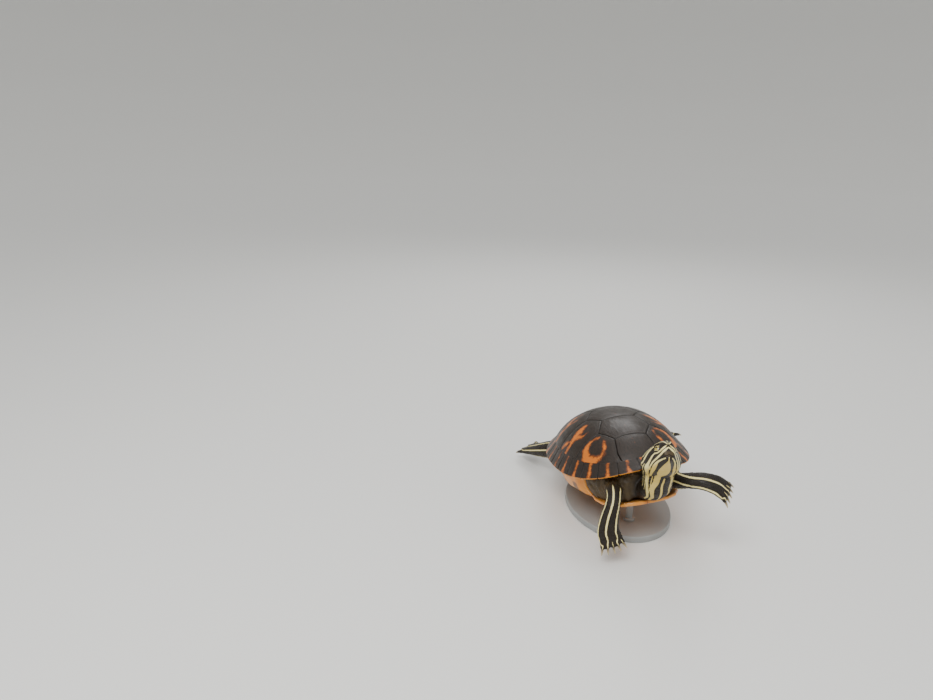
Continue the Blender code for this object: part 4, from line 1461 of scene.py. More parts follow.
    def lids(self, at: Rows) -> tuple[Rows, Rows]:
        """Draws the skin round the eyeballs into lids, and opens them.

        Args:
            at: Skin places in the head's frame, in millimetres.

        Returns:
            The new places, and each one's distance from the pale line along the lids.
        """
        made, rim = at.copy(), np.full(len(at), 9.0)
        for side in Side:
            centre = np.array(self.eye_place(side))
            axis, back, up = self.eye_frame(side)
            off = made - centre
            reach = np.linalg.norm(off, axis=1)
            toward = off / np.maximum(reach, 1e-6)[:, None]
            aside = np.hypot(toward @ back, toward @ up)
            arc = self.eye_radius * np.arctan2(aside, toward @ axis) / np.maximum(aside, 1e-6)
            gape = np.hypot((toward @ back) * arc / self.opening[0], (toward @ up) * arc / self.opening[1])
            near = (toward @ axis > 0.05) & (reach < 6.8)
            ball = self.eye_radius
            lid = (ball - 0.75 + (0.75 + 0.46) * smoothstep(0.90, 1.05, gape)
                   - 0.16 * smoothstep(1.14, 1.30, gape))
            share = smoothstep(1.62, 1.34, gape)
            crease = self.fold_depth * np.exp(-((gape - 1.52) / 0.10) ** 2)
            wanted = lid * share + reach * (1 - share) - crease
            made = np.where((near & (gape < 1.8))[:, None], centre + toward * wanted[:, None], made)
            line = np.abs(gape - 1.17) * 2.7 + 3.0 * smoothstep(ball + 0.50, ball + 0.95, wanted)
            rim = np.where(near, line, rim)
        return made, rim

    def sculpt(self, at: Rows, out: Rows) -> tuple[Rows, Rows]:
        """Cuts the mouth, nostrils and eardrums into the skin.

        Args:
            at: Skin places in the head's frame, in millimetres.
            out: Their outward directions in that frame.

        Returns:
            The new places, and how much painted shade the mouth's slit and the nostrils lay on each one.
        """
        x, t, z = at.T
        made = at.copy()
        front = smoothstep(4.0, 1.0, t)
        off = z - (self.mouth_height(t) + 0.9 * np.exp(-(x / 1.1) ** 2) * front)
        mask = smoothstep(self.mouth_end + 0.8, self.mouth_end - 0.8, t) * (z < 2)
        push = (-self.mouth_depth * np.exp(-(off / self.mouth_soft) ** 2)
                + 0.30 * np.exp(-((off - 1.0) / 0.75) ** 2))
        push -= 0.38 * smoothstep(0.1, -0.35, off) * smoothstep(-5.5, -1.5, off)
        made += out * (push * mask)[:, None]
        # painted shade along the mouth's slit
        dark = smoothstep(0.50, 0.16, np.abs(off)) * mask
        for side in Side:
            gap = np.hypot(x - self.nostril[0] * side.value, (z - self.nostril[1]) * 0.85)
            near = smoothstep(3.0, 1.5, t)
            hole = self.nostril_depth * np.exp(-(gap / 0.50) ** 2) - 0.22 * np.exp(-((gap - 1.1) / 0.45) ** 2)
            made[:, 1] += hole * near
            # painted shade in each nostril's hole
            dark = np.maximum(dark, smoothstep(0.75, 0.35, gap) * near)
            ring = np.hypot(t - self.ear[0], (z - self.ear[1]) * 0.95)
            there = (np.abs(x) > 9) & (np.sign(x) == side.value)
            drum = -self.ear_depth * smoothstep(self.ear[2] + 0.4, self.ear[2] - 0.5, ring)
            drum += 0.24 * np.exp(-((ring - self.ear[2] - 0.6) / 0.6) ** 2)
            made += out * (drum * there)[:, None]
        return made, dark


@dataclass(frozen=True)
class Foot:
    """Digits and claws of a fore or a hind foot."""

    angles: tuple  # of the digits, in degrees from the foot's middle
    lengths: tuple  # of the digits, as shares of the usual length
    digit: float  # that length
    claw: float
    radius: float  # of a digit
    web: float  # share of a digit's length that the web reaches
    splay: float  # width of the palm as a share of the wrist's


FORE = Foot((-19, -9, 0, 10, 20), (0.80, 0.97, 1.05, 1.00, 0.82), 0.0050, 0.0078, 0.0028, 0.55, 1.12)
HIND = Foot((-20, -7, 7, 22), (0.88, 1.05, 1.05, 0.90), 0.0095, 0.0065, 0.0034, 0.85, 1.25)


@dataclass
class Limb:
    """One leg with its foot: webbed digits, separate claws and stripes down to the toes."""

    name: str
    foot: Foot
    stations: list[Station]
    palm_end: tuple
    toes: tuple
    toe_flat: tuple
    # Stripes: angles at the shoulder and at the wrist, half width in millimetres, and the digit it runs to.
    stripes: tuple

    def __post_init__(self) -> None:
        """Adds the palm to the path and works out the digits."""
        wrist = self.stations[-1]
        flat = np.array(self.toe_flat, float) / np.linalg.norm(self.toe_flat)
        wrist_flat = np.array(wrist.flat, float) / np.linalg.norm(wrist.flat)
        end = np.array(self.palm_end)
        palm = [Station(tuple((np.array(wrist.centre) + end) / 2), wrist.wide * self.foot.splay ** 0.5,
                        wrist.thick * 0.80, tuple(wrist_flat + flat)),
                Station(tuple(end), wrist.wide * self.foot.splay, wrist.thick * 0.52, tuple(flat))]
        self.path = Path(self.name, [*self.stations, *palm])
        along = np.array(self.toes, float) / np.linalg.norm(self.toes)
        side = np.cross(along, flat)
        side /= np.linalg.norm(side)
        self.up = np.cross(side, along)
        spread = math.sin(math.radians(self.foot.angles[-1]))
        half = wrist.wide * self.foot.splay
        self.digits = []
        for angle, share in zip(self.foot.angles, self.foot.lengths):
            turn = math.radians(angle)
            heading = along * math.cos(turn) + side * math.sin(turn)
            root = end + side * half * 0.80 * math.sin(turn) / spread - along * 0.0010
            self.digits.append((root, heading, self.foot.digit * share))

    def oval(self, centre: Rows, heading: Rows, radius: float, flat: float = 0.85,
             sides: int = 14) -> Rows:
        """A section of a digit or claw, carried into the pose.

        Args:
            centre: Its middle.
            heading: Direction of the digit.
            radius: Half its width.
            flat: Its height as a share of its width.
            sides: How many points it has.

        Returns:
            Its points.
        """
        side = np.cross(heading, self.up)
        angle = np.linspace(0, 2 * math.pi, sides, endpoint=False)[:, None]
        return carried(BODY, centre + radius * np.cos(angle) * side + radius * flat * np.sin(angle) * self.up)

    def flesh(self) -> list[Object]:
        """The leg, its digits without their claws, and the webs between them.

        Returns:
            The closed forms.
        """
        made = [self.path.body()]
        r, claw = self.foot.radius, self.foot.claw
        for root, heading, length in self.digits:
            spans = ((-2.4 * r, 0.70), (0.0, 0.98), (0.30 * length, 0.88), (0.55 * length, 0.98),
                     (0.80 * length, 0.88), (length, 0.86), (length + 0.16 * claw, 0.80),
                     (length + 0.28 * claw, 0.55))
            made.append(skinned("digit", [self.oval(root + heading * d, heading, r * s) for d, s in spans]))
        for (a, ah, al), (b, bh, bl) in zip(self.digits, self.digits[1:]):
            rings = []
            for share in (-0.5, 0.0, 0.35, 0.7, 1.0):
                reach = self.foot.web * share
                left, right = a + ah * al * reach, b + bh * bl * reach
                middle = (left + right) / 2 - (ah + bh) / 2 * al * 0.12 * max(0.0, share) ** 2
                half = self.up * (0.00110 - 0.00015 * max(0.0, share))
                rings.append(carried(BODY, np.array([left + half, middle + half, right + half,
                                                     right - half, middle - half, left - half])))
            made.append(skinned("web", rings))
        return made

    def claws(self, horn: Material) -> None:
        """Builds the foot's claws, each a curved, flattened horn set into its digit.

        Args:
            horn: The claws' material.
        """
        made, roots = [], []
        length, r = self.foot.claw, self.foot.radius
        for root, heading, digit in self.digits:
            start = root + heading * (digit - 0.0010)
            rings = []
            for t in np.linspace(0, 1, 9):
                size = r * (0.56 * (1 - t) ** 0.75 + 0.05)
                centre = start + heading * (length + 0.0009) * t - self.up * length * 0.22 * t * t
                rings.append(self.oval(centre, heading, size, 1.05, 12))
                roots.extend([(1 - t) ** 1.5 * 0.85] * 12)
            made.append(skinned("claw", rings))
        piece = joined(f"claws_{self.name}", made)
        attach(piece, root=np.array(roots))
        apply_modifier(piece, "SUBSURF", levels=1, render_levels=1)
        finish_piece(piece, horn, Slot.SKIN)

    def lines(self) -> list[tuple[Rows, Rows]]:
        """The leg's stripes.

        Returns:
            Each one's centre line in the model's frame, and its half widths in millimetres.
        """
        made = []
        for first, last, half, digit in self.stripes:
            places, halves = [], []
            for share in np.linspace(0.16, 0.90, 16):
                t = (share - 0.16) / 0.74
                places.append(self.path.surface(share, first + (last - first) * t ** 1.3, 1.04))
                halves.append(half * (0.75 + 0.25 * math.sin(math.pi * t)) * (1 - 0.25 * t))
            if digit is not None:
                root, heading, length = self.digits[digit]
                for reach in (0.1, 0.6, 0.95):
                    place = root + heading * length * reach + self.up * self.foot.radius * 0.9
                    places.append(carried(BODY, place[None, :])[0])
                    halves.append(half * (0.62 - 0.25 * reach))
            made.append((np.array(places), np.array(halves)))
        used = {s[3] for s in self.stripes}
        for index, (root, heading, length) in enumerate(self.digits):
            if index in used:
                continue
            rows = [root + heading * length * reach + self.up * self.foot.radius * 0.9
                    for reach in (-0.6, 0.2, 0.95)]
            made.append((carried(BODY, np.array(rows)), np.array([0.25, 0.45, 0.30])))
        return made


# Sizes of the scales of a foreleg and a hind leg, in millimetres.
FORE_SCALE, HIND_SCALE = 2.0, 2.4


def limbs() -> list[Limb]:
    """The four legs, each in its own moment of a paddling stroke.

    Returns:
        Right and left foreleg, right and left hind leg.
    """
    fore_right = Limb("forefoot_right", FORE, [
        Station((-0.0280, -0.0700, 0.0235), 0.0105, 0.0095),
        Station((-0.0350, -0.0980, 0.0240), 0.0086, 0.0086, (0, -0.45, 0.90)),
        Station((-0.0405, -0.1090, 0.0175), 0.0080, 0.0080, (0, -0.9, 0.45)),
        Station((-0.0470, -0.1130, 0.0035), 0.0098, 0.0066, (-0.1, -1, 0.2)),
        Station((-0.0508, -0.1165, -0.0090), 0.0116, 0.0052, (-0.1, -1, 0.25)),
    ], (-0.0492, -0.1208, -0.0210), (0.14, -0.22, -0.96), (-0.1, -0.97, 0.22),
        ((72, 76, 1.05, 4), (14, 18, 1.15, 3), (-44, -30, 1.10, 1), (-100, -92, 0.7, None),
         (140, 145, 0.8, None), (-150, -150, 0.7, None)))
    fore_left = Limb("forefoot_left", FORE, [
        Station((0.0280, -0.0700, 0.0245), 0.0105, 0.0095),
        Station((0.0340, -0.1000, 0.0260), 0.0088, 0.0088, (0.1, -0.4, 0.9)),
        Station((0.0410, -0.1150, 0.0300), 0.0084, 0.0078, (0.2, -0.75, 0.62)),
        Station((0.0530, -0.1245, 0.0305), 0.0096, 0.0064, (0.15, -0.78, 0.60)),
        Station((0.0640, -0.1290, 0.0262), 0.0112, 0.0052, (0.2, -0.76, 0.62)),
    ], (0.0735, -0.1305, 0.0180), (0.62, 0.00, -0.78), (0.46, -0.75, 0.44),
        ((70, 66, 1.15, 4), (2, 0, 1.15, 2), (-80, -72, 0.55, 0), (-130, -130, 0.7, None),
         (140, 140, 0.8, None)))
    hind_stripes = ((-62, -55, 0.95, 0), (-8, -14, 1.00, 1), (40, 34, 0.95, 2), (88, 80, 0.9, 3),
                    (140, 135, 0.8, None), (-120, -125, 0.8, None), (180, 180, 0.8, None))
    hind_right = Limb("hindfoot_right", HIND, [
        Station((-0.0260, 0.0520, 0.0190), 0.0165, 0.0105),
        Station((-0.0450, 0.0720, 0.0190), 0.0162, 0.0112),
        Station((-0.0590, 0.0890, 0.0165), 0.0145, 0.0108, (-0.2, 0, 1)),
        Station((-0.0690, 0.1050, 0.0130), 0.0125, 0.0088, (-0.3, 0.1, 1)),
        Station((-0.0755, 0.1200, 0.0100), 0.0120, 0.0064, (-0.3, 0.1, 1)),
    ], (-0.0815, 0.1385, 0.0068), (-0.28, 0.95, -0.16), (-0.25, 0.12, 0.95), hind_stripes)
    hind_left = Limb("hindfoot_left", HIND, [
        Station((0.0260, 0.0520, 0.0190), 0.0165, 0.0105),
        Station((0.0470, 0.0690, 0.0185), 0.0160, 0.0112),
        Station((0.0650, 0.0830, 0.0145), 0.0145, 0.0108, (0.2, 0, 1)),
        Station((0.0800, 0.0940, 0.0100), 0.0125, 0.0088, (0.2, 0.1, 1)),
        Station((0.0920, 0.1050, 0.0060), 0.0120, 0.0064, (0.2, 0.15, 1)),
    ], (0.1055, 0.1182, 0.0014), (0.70, 0.68, -0.22), (0.25, 0.15, 0.95), hind_stripes)
    return [fore_right, fore_left, hind_right, hind_left]


@dataclass
class Skin:
    """The one skin over head, neck, limbs and tail, with its folds and stripes."""

    frame: dict
    hide: Material
    head: Head
    limbs: list[Limb]
    voxel: float = 0.0013
    leg_nodes: tuple = (("foreleg", "forearm", "forefoot"), ("thigh", "shank", "hindfoot"))
    # Neck stripes: places along it from the shell to the head, each with an angle from the nape, positive on
    # the right side, in degrees; then the half widths there in millimetres.
    neck_stripes: tuple = (
        ((0.36, 133), (0.44, 134), (0.53, 125), (0.63, 126), (0.73, 133), (0.82, 131)),
        (0.7, 1.2, 1.7, 1.8, 1.8, 1.6),
        ((0.50, 108), (0.56, 110), (0.62, 115), (0.72, 117)), (0.35, 0.5, 0.5, 0.4),
        ((0.42, 140), (0.55, 137), (0.63, 145), (0.72, 152)), (0.3, 0.4, 0.45, 0.35),
        ((0.36, 153), (0.47, 152), (0.53, 148), (0.58, 150), (0.64, 164), (0.75, 171), (0.90, 177)),
        (1.0, 1.8, 2.1, 2.5, 2.9, 3.1, 2.4),
        ((0.38, -178), (0.53, -176), (0.61, -173), (0.68, -165)), (0.6, 1.1, 1.1, 0.8),
        ((0.36, -142), (0.48, -140), (0.56, -138), (0.63, -128), (0.74, -134), (0.86, -142)),
        (0.7, 1.3, 1.7, 2.0, 2.1, 1.7),
        ((0.38, -118), (0.52, -114), (0.72, -112)), (0.3, 0.5, 0.5),
        ((0.50, 88), (0.60, 91), (0.78, 96)), (0.6, 0.9, 0.9),
        ((0.42, -86), (0.50, -88), (0.78, -96)), (0.6, 0.9, 0.9),
        ((0.46, 65), (0.56, 68), (0.78, 78)), (0.3, 0.5, 0.5),
        ((0.42, -64), (0.50, -66), (0.78, -78)), (0.3, 0.5, 0.5),
        ((0.36, 40), (0.50, 42), (0.80, 46)), (0.4, 0.7, 0.6),
        ((0.36, -40), (0.50, -42), (0.80, -46)), (0.4, 0.7, 0.6),
        ((0.36, 20), (0.50, 20), (0.80, 24)), (0.3, 0.4, 0.4),
        ((0.36, -20), (0.50, -20), (0.80, -24)), (0.3, 0.4, 0.4),
        ((0.36, 0), (0.50, 0), (0.80, 0)), (0.4, 0.5, 0.5))

    def __post_init__(self) -> None:
        """Works out the neck and the tail."""
        inverse = BODY.inverted() @ self.head.matrix
        back = inverse @ Vector((0, self.head.length * 0.43 * MM, 0))
        inside = inverse @ Vector((0, self.head.length * 0.20 * MM, 0))
        tilted = inverse.to_3x3() @ Vector((0, 0, 1))
        between = (Vector((0, 0, 1)) + tilted).normalized()
        self.neck = Path("neck_form", [
            Station((0.0010, -0.0680, 0.0235), 0.0178, 0.0130),
            Station((0.0040, -0.0930, 0.0212), 0.0162, 0.0122),
            Station((0.0065, -0.1135, 0.0310), 0.0150, 0.0138, tuple(between)),
            Station(tuple(back), 0.0164, 0.0138, tuple(tilted)),
            Station(tuple(inside), 0.0172, 0.0136, tuple(tilted))])
        self.tail = Path("tail_form", [
            Station((0.000, 0.080, 0.0170), 0.0085, 0.0070), Station((0.001, 0.100, 0.0150), 0.0062, 0.0056),
            Station((0.004, 0.116, 0.0125), 0.0036, 0.0034), Station((0.009, 0.131, 0.0110), 0.0015, 0.0015)])

    def trunk_ends(self) -> list[Object]:
        """The ends of the soft body that show between the plates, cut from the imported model's trunk.

        Returns:
            The front end and the rear end.
        """
        made = []
        for place, sign in ((-0.034, -1), (0.034, 1)):
            piece = copy_of(self.frame, "trunk", "trunk_end")
            origin = BODY @ Vector((0, place, 0))
            normal = BODY.to_3x3() @ Vector((0, sign, 0))
            in_edit(piece, (bpy.ops.mesh.bisect, {"plane_co": origin, "plane_no": normal, "use_fill": True,
                                                  "clear_inner": True}))
            made.append(piece)
        return made

    def thin_out(self, piece: Object, hidden: Rows) -> None:
        """Merges small faces where plates hide the skin.

        Args:
            piece: The skin.
            hidden: Whether each vertex is under a plate.
        """
        group = piece.vertex_groups.new(name="hidden")
        group.add(np.nonzero(hidden)[0].tolist(), 1.0, "REPLACE")
        apply_modifier(piece, "DECIMATE", ratio=1 - 0.9 * float(hidden.mean()), vertex_group="hidden")
        piece.vertex_groups.clear()

    def refine(self, piece: Object, wanted: Rows) -> None:
        """Divides the faces whose vertices are all wanted.

        Args:
            piece: The skin.
            wanted: Whether each vertex is in the region.
        """
        pick(piece)
        mesh = piece.data
        mesh.polygons.foreach_set("select", [False] * len(mesh.polygons))
        mesh.edges.foreach_set("select", [False] * len(mesh.edges))
        mesh.vertices.foreach_set("select", wanted)
        bpy.ops.object.mode_set(mode="EDIT")
        bpy.ops.mesh.select_mode(type="VERT")
        bpy.ops.mesh.subdivide(number_cuts=1)
        bpy.ops.object.mode_set(mode="OBJECT")

    def near_features(self, at: Rows) -> Rows:
        """Finds what is by the eyes, the snout or the mouth.

        Args:
            at: Places in the head's frame.

        Returns:
            Whether each one is.
        """
        near = np.linalg.norm(at - np.array([0, 0, 1.0]), axis=1) < 5.5
        for side in Side:
            near |= np.linalg.norm(at - np.array(self.head.eye_place(side)), axis=1) < 6.6
        off = np.abs(at[:, 2] - self.head.mouth_height(at[:, 1]))
        return near | ((off < 1.4) & (at[:, 1] < 28.5))

    def by_toes(self, places: Rows) -> Rows:
        """Finds what is on a foot's toes or the webs between them.

        Args:
            places: Places in the model's frame.

        Returns:
            Whether each one is.
        """
        near = np.zeros(len(places), dtype=bool)
        for limb in self.limbs:
            reach = np.linalg.norm(places - limb.path.centres[-1], axis=1)
            ahead = (places - limb.path.centres[-1]) @ limb.path.along[-1]
            near |= (ahead > -0.002) & (reach < 0.018 + limb.foot.digit)
        return near

    def onto_belly(self, places: Rows, loose: Rows) -> Rows:
        """Draws the loose skin's lower edge down to the belly plate, where it is rooted.

        Args:
            places: The skin's vertices.
            loose: How loose the skin is at each.

        Returns:
            The vertices' new places.
        """
        here = level(places)
        x, y, z = here.T
        above = (z - SHELL.keel(y)) / MM - 4.5
        share = loose * smoothstep(11, 4, above) * smoothstep(52, 50, np.abs(x) / MM)
        share = share * smoothstep(98, 92, np.abs(y) / MM)
        here[:, 2] -= share * (above + 0.9) * MM
        return carried(BODY, here)

    def folds(self, neck: tuple, legs: list[tuple]) -> Rows:
        """Height in millimetres of the skin's folds on the neck and legs.

        Args:
            neck: Share along, angle and distance out of each vertex on the neck.
            legs: The same for each leg.

        Returns:
            One height for each vertex.
        """
        share, angle, out = neck
        on = smoothstep(1.45, 1.15, out) * smoothstep(0.98, 0.80, share)
        run = np.interp(share, np.linspace(0, 1, self.neck.count), self.neck.run)
        wave = noise_at(np.column_stack([run / 3.0, np.cos(angle) * 1.5, np.sin(angle) * 1.5]))
        height = on * (0.45 * wave - 0.30 * np.exp(-((np.abs(wave) - 0.02) / 0.06) ** 2))
        for place, size in ((0.26, 0.9), (0.38, 0.55), (0.50, 0.35)):
            height += on * size * np.exp(-((share - place) / 0.030) ** 2)
        for path, (s, a, o) in legs:
            on = smoothstep(1.5, 1.2, o)
            run = np.interp(s, np.linspace(0, 1, path.count), path.run)
            wave = noise_at(np.column_stack([run / 3.4, np.cos(a) * 1.6 + 7, np.sin(a) * 1.6]))
            bend = np.exp(-((s - 0.36) / 0.10) ** 2) + 0.7 * np.exp(-((s - 0.12) / 0.10) ** 2)
            height += on * wave * (0.22 + 0.40 * bend) * smoothstep(0.95, 0.80, s)
        return height

    def lines(self) -> list[tuple[Rows, Rows]]:
        """All the animal's stripes.

        Returns:
            Each one's centre line in the model's frame, and its half widths in millimetres.
        """
        made = []
        for points, halves in self.head.stripes:
            for side in Side:
                rows = np.array(points) * np.array([side.value, 1, 1])
                made.append((self.head.world(rows), np.array(halves)))
        for points, halves in self.head.midline:
            made.append((self.head.world(np.array(points)), np.array(halves)))
        for points, halves in zip(self.neck_stripes[::2], self.neck_stripes[1::2]):
            made.append((np.array([self.neck.surface(s, a, 1.03) for s, a in points]), np.array(halves)))
        for limb in self.limbs:
            made.extend(limb.lines())
        for angle in (52, -52, 128, -128):
            rows = [self.tail.surface(s, angle) for s in (0.25, 0.5, 0.75, 0.92)]
            made.append((np.array(rows), np.array([0.8, 0.8, 0.65, 0.45])))
        return made

    def draw(self, piece: Object) -> BVHTree:
        """Lays the stripes' centre lines on the finished skin.

        Args:
            piece: The skin.

        Returns:
            A finder of the skin's nearest places.
        """
        faces = [tuple(p.vertices) for p in piece.data.polygons]
        tree = BVHTree.FromPolygons([Vector(p) for p in coords(piece)], faces)
        self.drawn = []
        for rows, halves in self.lines():
            reach = np.linalg.norm(np.diff(rows, axis=0), axis=1).sum()
            dense = through(np.column_stack([rows, halves]), max(8, int(reach / (0.35 * MM))))
            laid = np.array([tree.find_nearest(Vector(p))[0] for p in dense[:, :3]])
            self.drawn.append((laid, dense[:, 3]))
        return tree

    def stripe_edge(self, places: Rows) -> Rows:
        """Distance to the nearest stripe's edge.

        Args:
            places: Where it is measured.

        Returns:
            Millimetres, at most 6, negative inside a stripe.
        """
        best = np.full(len(places), 6.0)
        for on, halves in self.drawn:
            low, high = on.min(axis=0) - 6 * MM, on.max(axis=0) + 6 * MM
            near = np.nonzero(((places > low) & (places < high)).all(axis=1))[0]
            for start in range(0, len(near), BATCH):
                part = near[start:start + BATCH]
                gap = np.linalg.norm(places[part][:, None, :] - on[None, :, :], axis=2) / MM - halves[None, :]
                best[part] = np.minimum(best[part], gap.min(axis=1))
        return best

    def even_out(self, piece: Object) -> Rows:
        """Smooths the joined forms into one another, and divides the faces of the head and toes.

        Args:
            piece: The skin.

        Returns:
            Its vertices' new places.
        """
        places = coords(piece)
        forms = (self.neck, self.tail, *(limb.path for limb in self.limbs))
        closest = np.min([form.locate(places)[2] for form in forms], axis=0)
        on_head = self.head.holds(self.head.local(places), 47)
        loose = np.where(on_head, 0.0, smoothstep(1.12, 1.6, closest))
        places = smoothed(places, edges_of(piece), 4)
        places = smoothed(places, edges_of(piece), 12, np.clip(loose + 0.04, 0, 1), False)
        move_to(piece, places)
        self.refine(piece, self.head.local(places)[:, 1] < 76)
        self.refine(piece, self.near_features(self.head.local(coords(piece))))
        self.refine(piece, self.by_toes(coords(piece)))
        places = coords(piece)
        fine = (self.head.local(places)[:, 1] < 77) | self.by_toes(places)
        places = smoothed(places, edges_of(piece), 5, fine * 1.0)
        move_to(piece, places)
        return places

    def looseness(self, piece: Object, places: Rows, neck: tuple, legs: list[tuple]) -> Rows:
        """How loose the skin is: 0 on the head, neck, tail and legs, and 1 where it spans between them.

        Args:
            piece: The skin.
            places: Its vertices' places.
            neck: Share along, angle and distance out of each vertex on the neck.
            legs: The same for each leg.

        Returns:
            One share for each vertex.
        """
        closest = np.min([at[2] for at in (neck, self.tail.locate(places), *(at for _, at in legs))], axis=0)
        on_head = self.head.holds(self.head.local(places), 50)
        loose = np.where(on_head, 0.0, smoothstep(1.15, 1.7, closest))
        for _, (share, _, out) in legs:
            loose = np.maximum(loose, smoothstep(0.20, 0.08, share) * (out < 2.2))
        loose = np.where(self.by_toes(places), 0.0, loose)
        return smoothed(np.repeat(loose[:, None], 3, axis=1), edges_of(piece), 12, 1.0, False)[:, 0]

    def face(self, piece: Object, at: Rows) -> tuple[Rows, Rows, Rows]:
        """Cuts the mouth, nostrils, eardrums and lids of the head.

        Args:
            piece: The skin.
            at: Its vertices in the head's frame.

        Returns:
            Their new places in that frame, the painted shade of mouth and nostrils on each, and each one's
            distance from the pale line along the lids.
        """
        turned = np.array(self.head.matrix.inverted())[:3, :3]
        cut, dark = self.head.sculpt(at, normals_of(piece) @ turned.T)
        by_eye = np.zeros(len(at))
        for side in Side:
            gap = np.linalg.norm(at - np.array(self.head.eye_place(side)), axis=1)
            by_eye = np.maximum(by_eye, smoothstep(8.0, 6.5, gap))
        for _ in range(2):
            cut = smoothed(self.head.lids(cut)[0], edges_of(piece), 5, by_eye)
        cut, rim = self.head.lids(cut)
        return cut, dark, rim

    def build(self) -> None:
        """Builds the skin."""
        parts = self.trunk_ends() + [self.neck.body(), self.tail.body()] + self.head.body()
        for limb in self.limbs:
            parts.extend(limb.flesh())
        piece = joined("skin", parts)
        remeshed(piece, self.voxel)
        inner = level(coords(piece))
        cover = SHELL.top(inner[:, 0], inner[:, 1]) - inner[:, 2]
        along = np.abs(inner[:, 1])
        self.thin_out(piece, (along < 0.040) | ((cover < 0.0045) & (along < 0.090)))
        places = self.even_out(piece)
        neck = self.neck.locate(places)
        legs = [(limb.path, limb.path.locate(places)) for limb in self.limbs]
        on_head = self.head.holds(self.head.local(places), 50)
        loose = self.looseness(piece, places, neck, legs)
        slack = noise_at(level(places) * [150, 230, 95])
        folds = self.folds(neck, legs) + loose * (2.6 * np.sqrt(np.abs(slack)) - 1.0)
        places = places + normals_of(piece) * (folds * MM)[:, None]
        places = self.onto_belly(places, loose)
        move_to(piece, places)
        at = self.head.local(places)
        cut, dark, rim = self.face(piece, at)
        places = np.where(on_head[:, None], self.head.world(cut), places)
        move_to(piece, places)
        self.tree = self.draw(piece)
        stripe = np.minimum(self.stripe_edge(places), np.where(on_head, rim - 0.28, 9.0))
        beak = 0.75 * smoothstep(6.0, 3.0, np.hypot(at[:, 0], at[:, 1] * 0.8))
        beak = beak * smoothstep(-1.0, -3.0, at[:, 2]) * smoothstep(-8.0, -7.0, at[:, 2])
        share, angle, out = neck
        below = smoothstep(95, 150, np.degrees(np.abs(angle))) * (out < 1.3) * (share > 0.3) * 0.85
        attach(piece, stripe=stripe + 3.0 * smoothstep(0.3, 0.9, loose),
               loose=np.maximum(loose, np.where(on_head, beak, 0.0)),
               throat=np.where(on_head, smoothstep(-7.5, -11.0, at[:, 2]), below) * 0.75,
               # painted shade of the mouth's slit and the nostrils
               mouth=np.where(on_head, dark, 0.0),
               fine=np.where(on_head, 0.15 + 0.75 * smoothstep(22, 46, at[:, 1]), 1.0))
        legs = [f"{node}_{side.word}" for nodes in self.leg_nodes for side in Side for node in nodes]
        finish_piece(piece, self.hide, Slot.SKIN, "trunk", "neck", "head", "jaw", *legs, "tail")


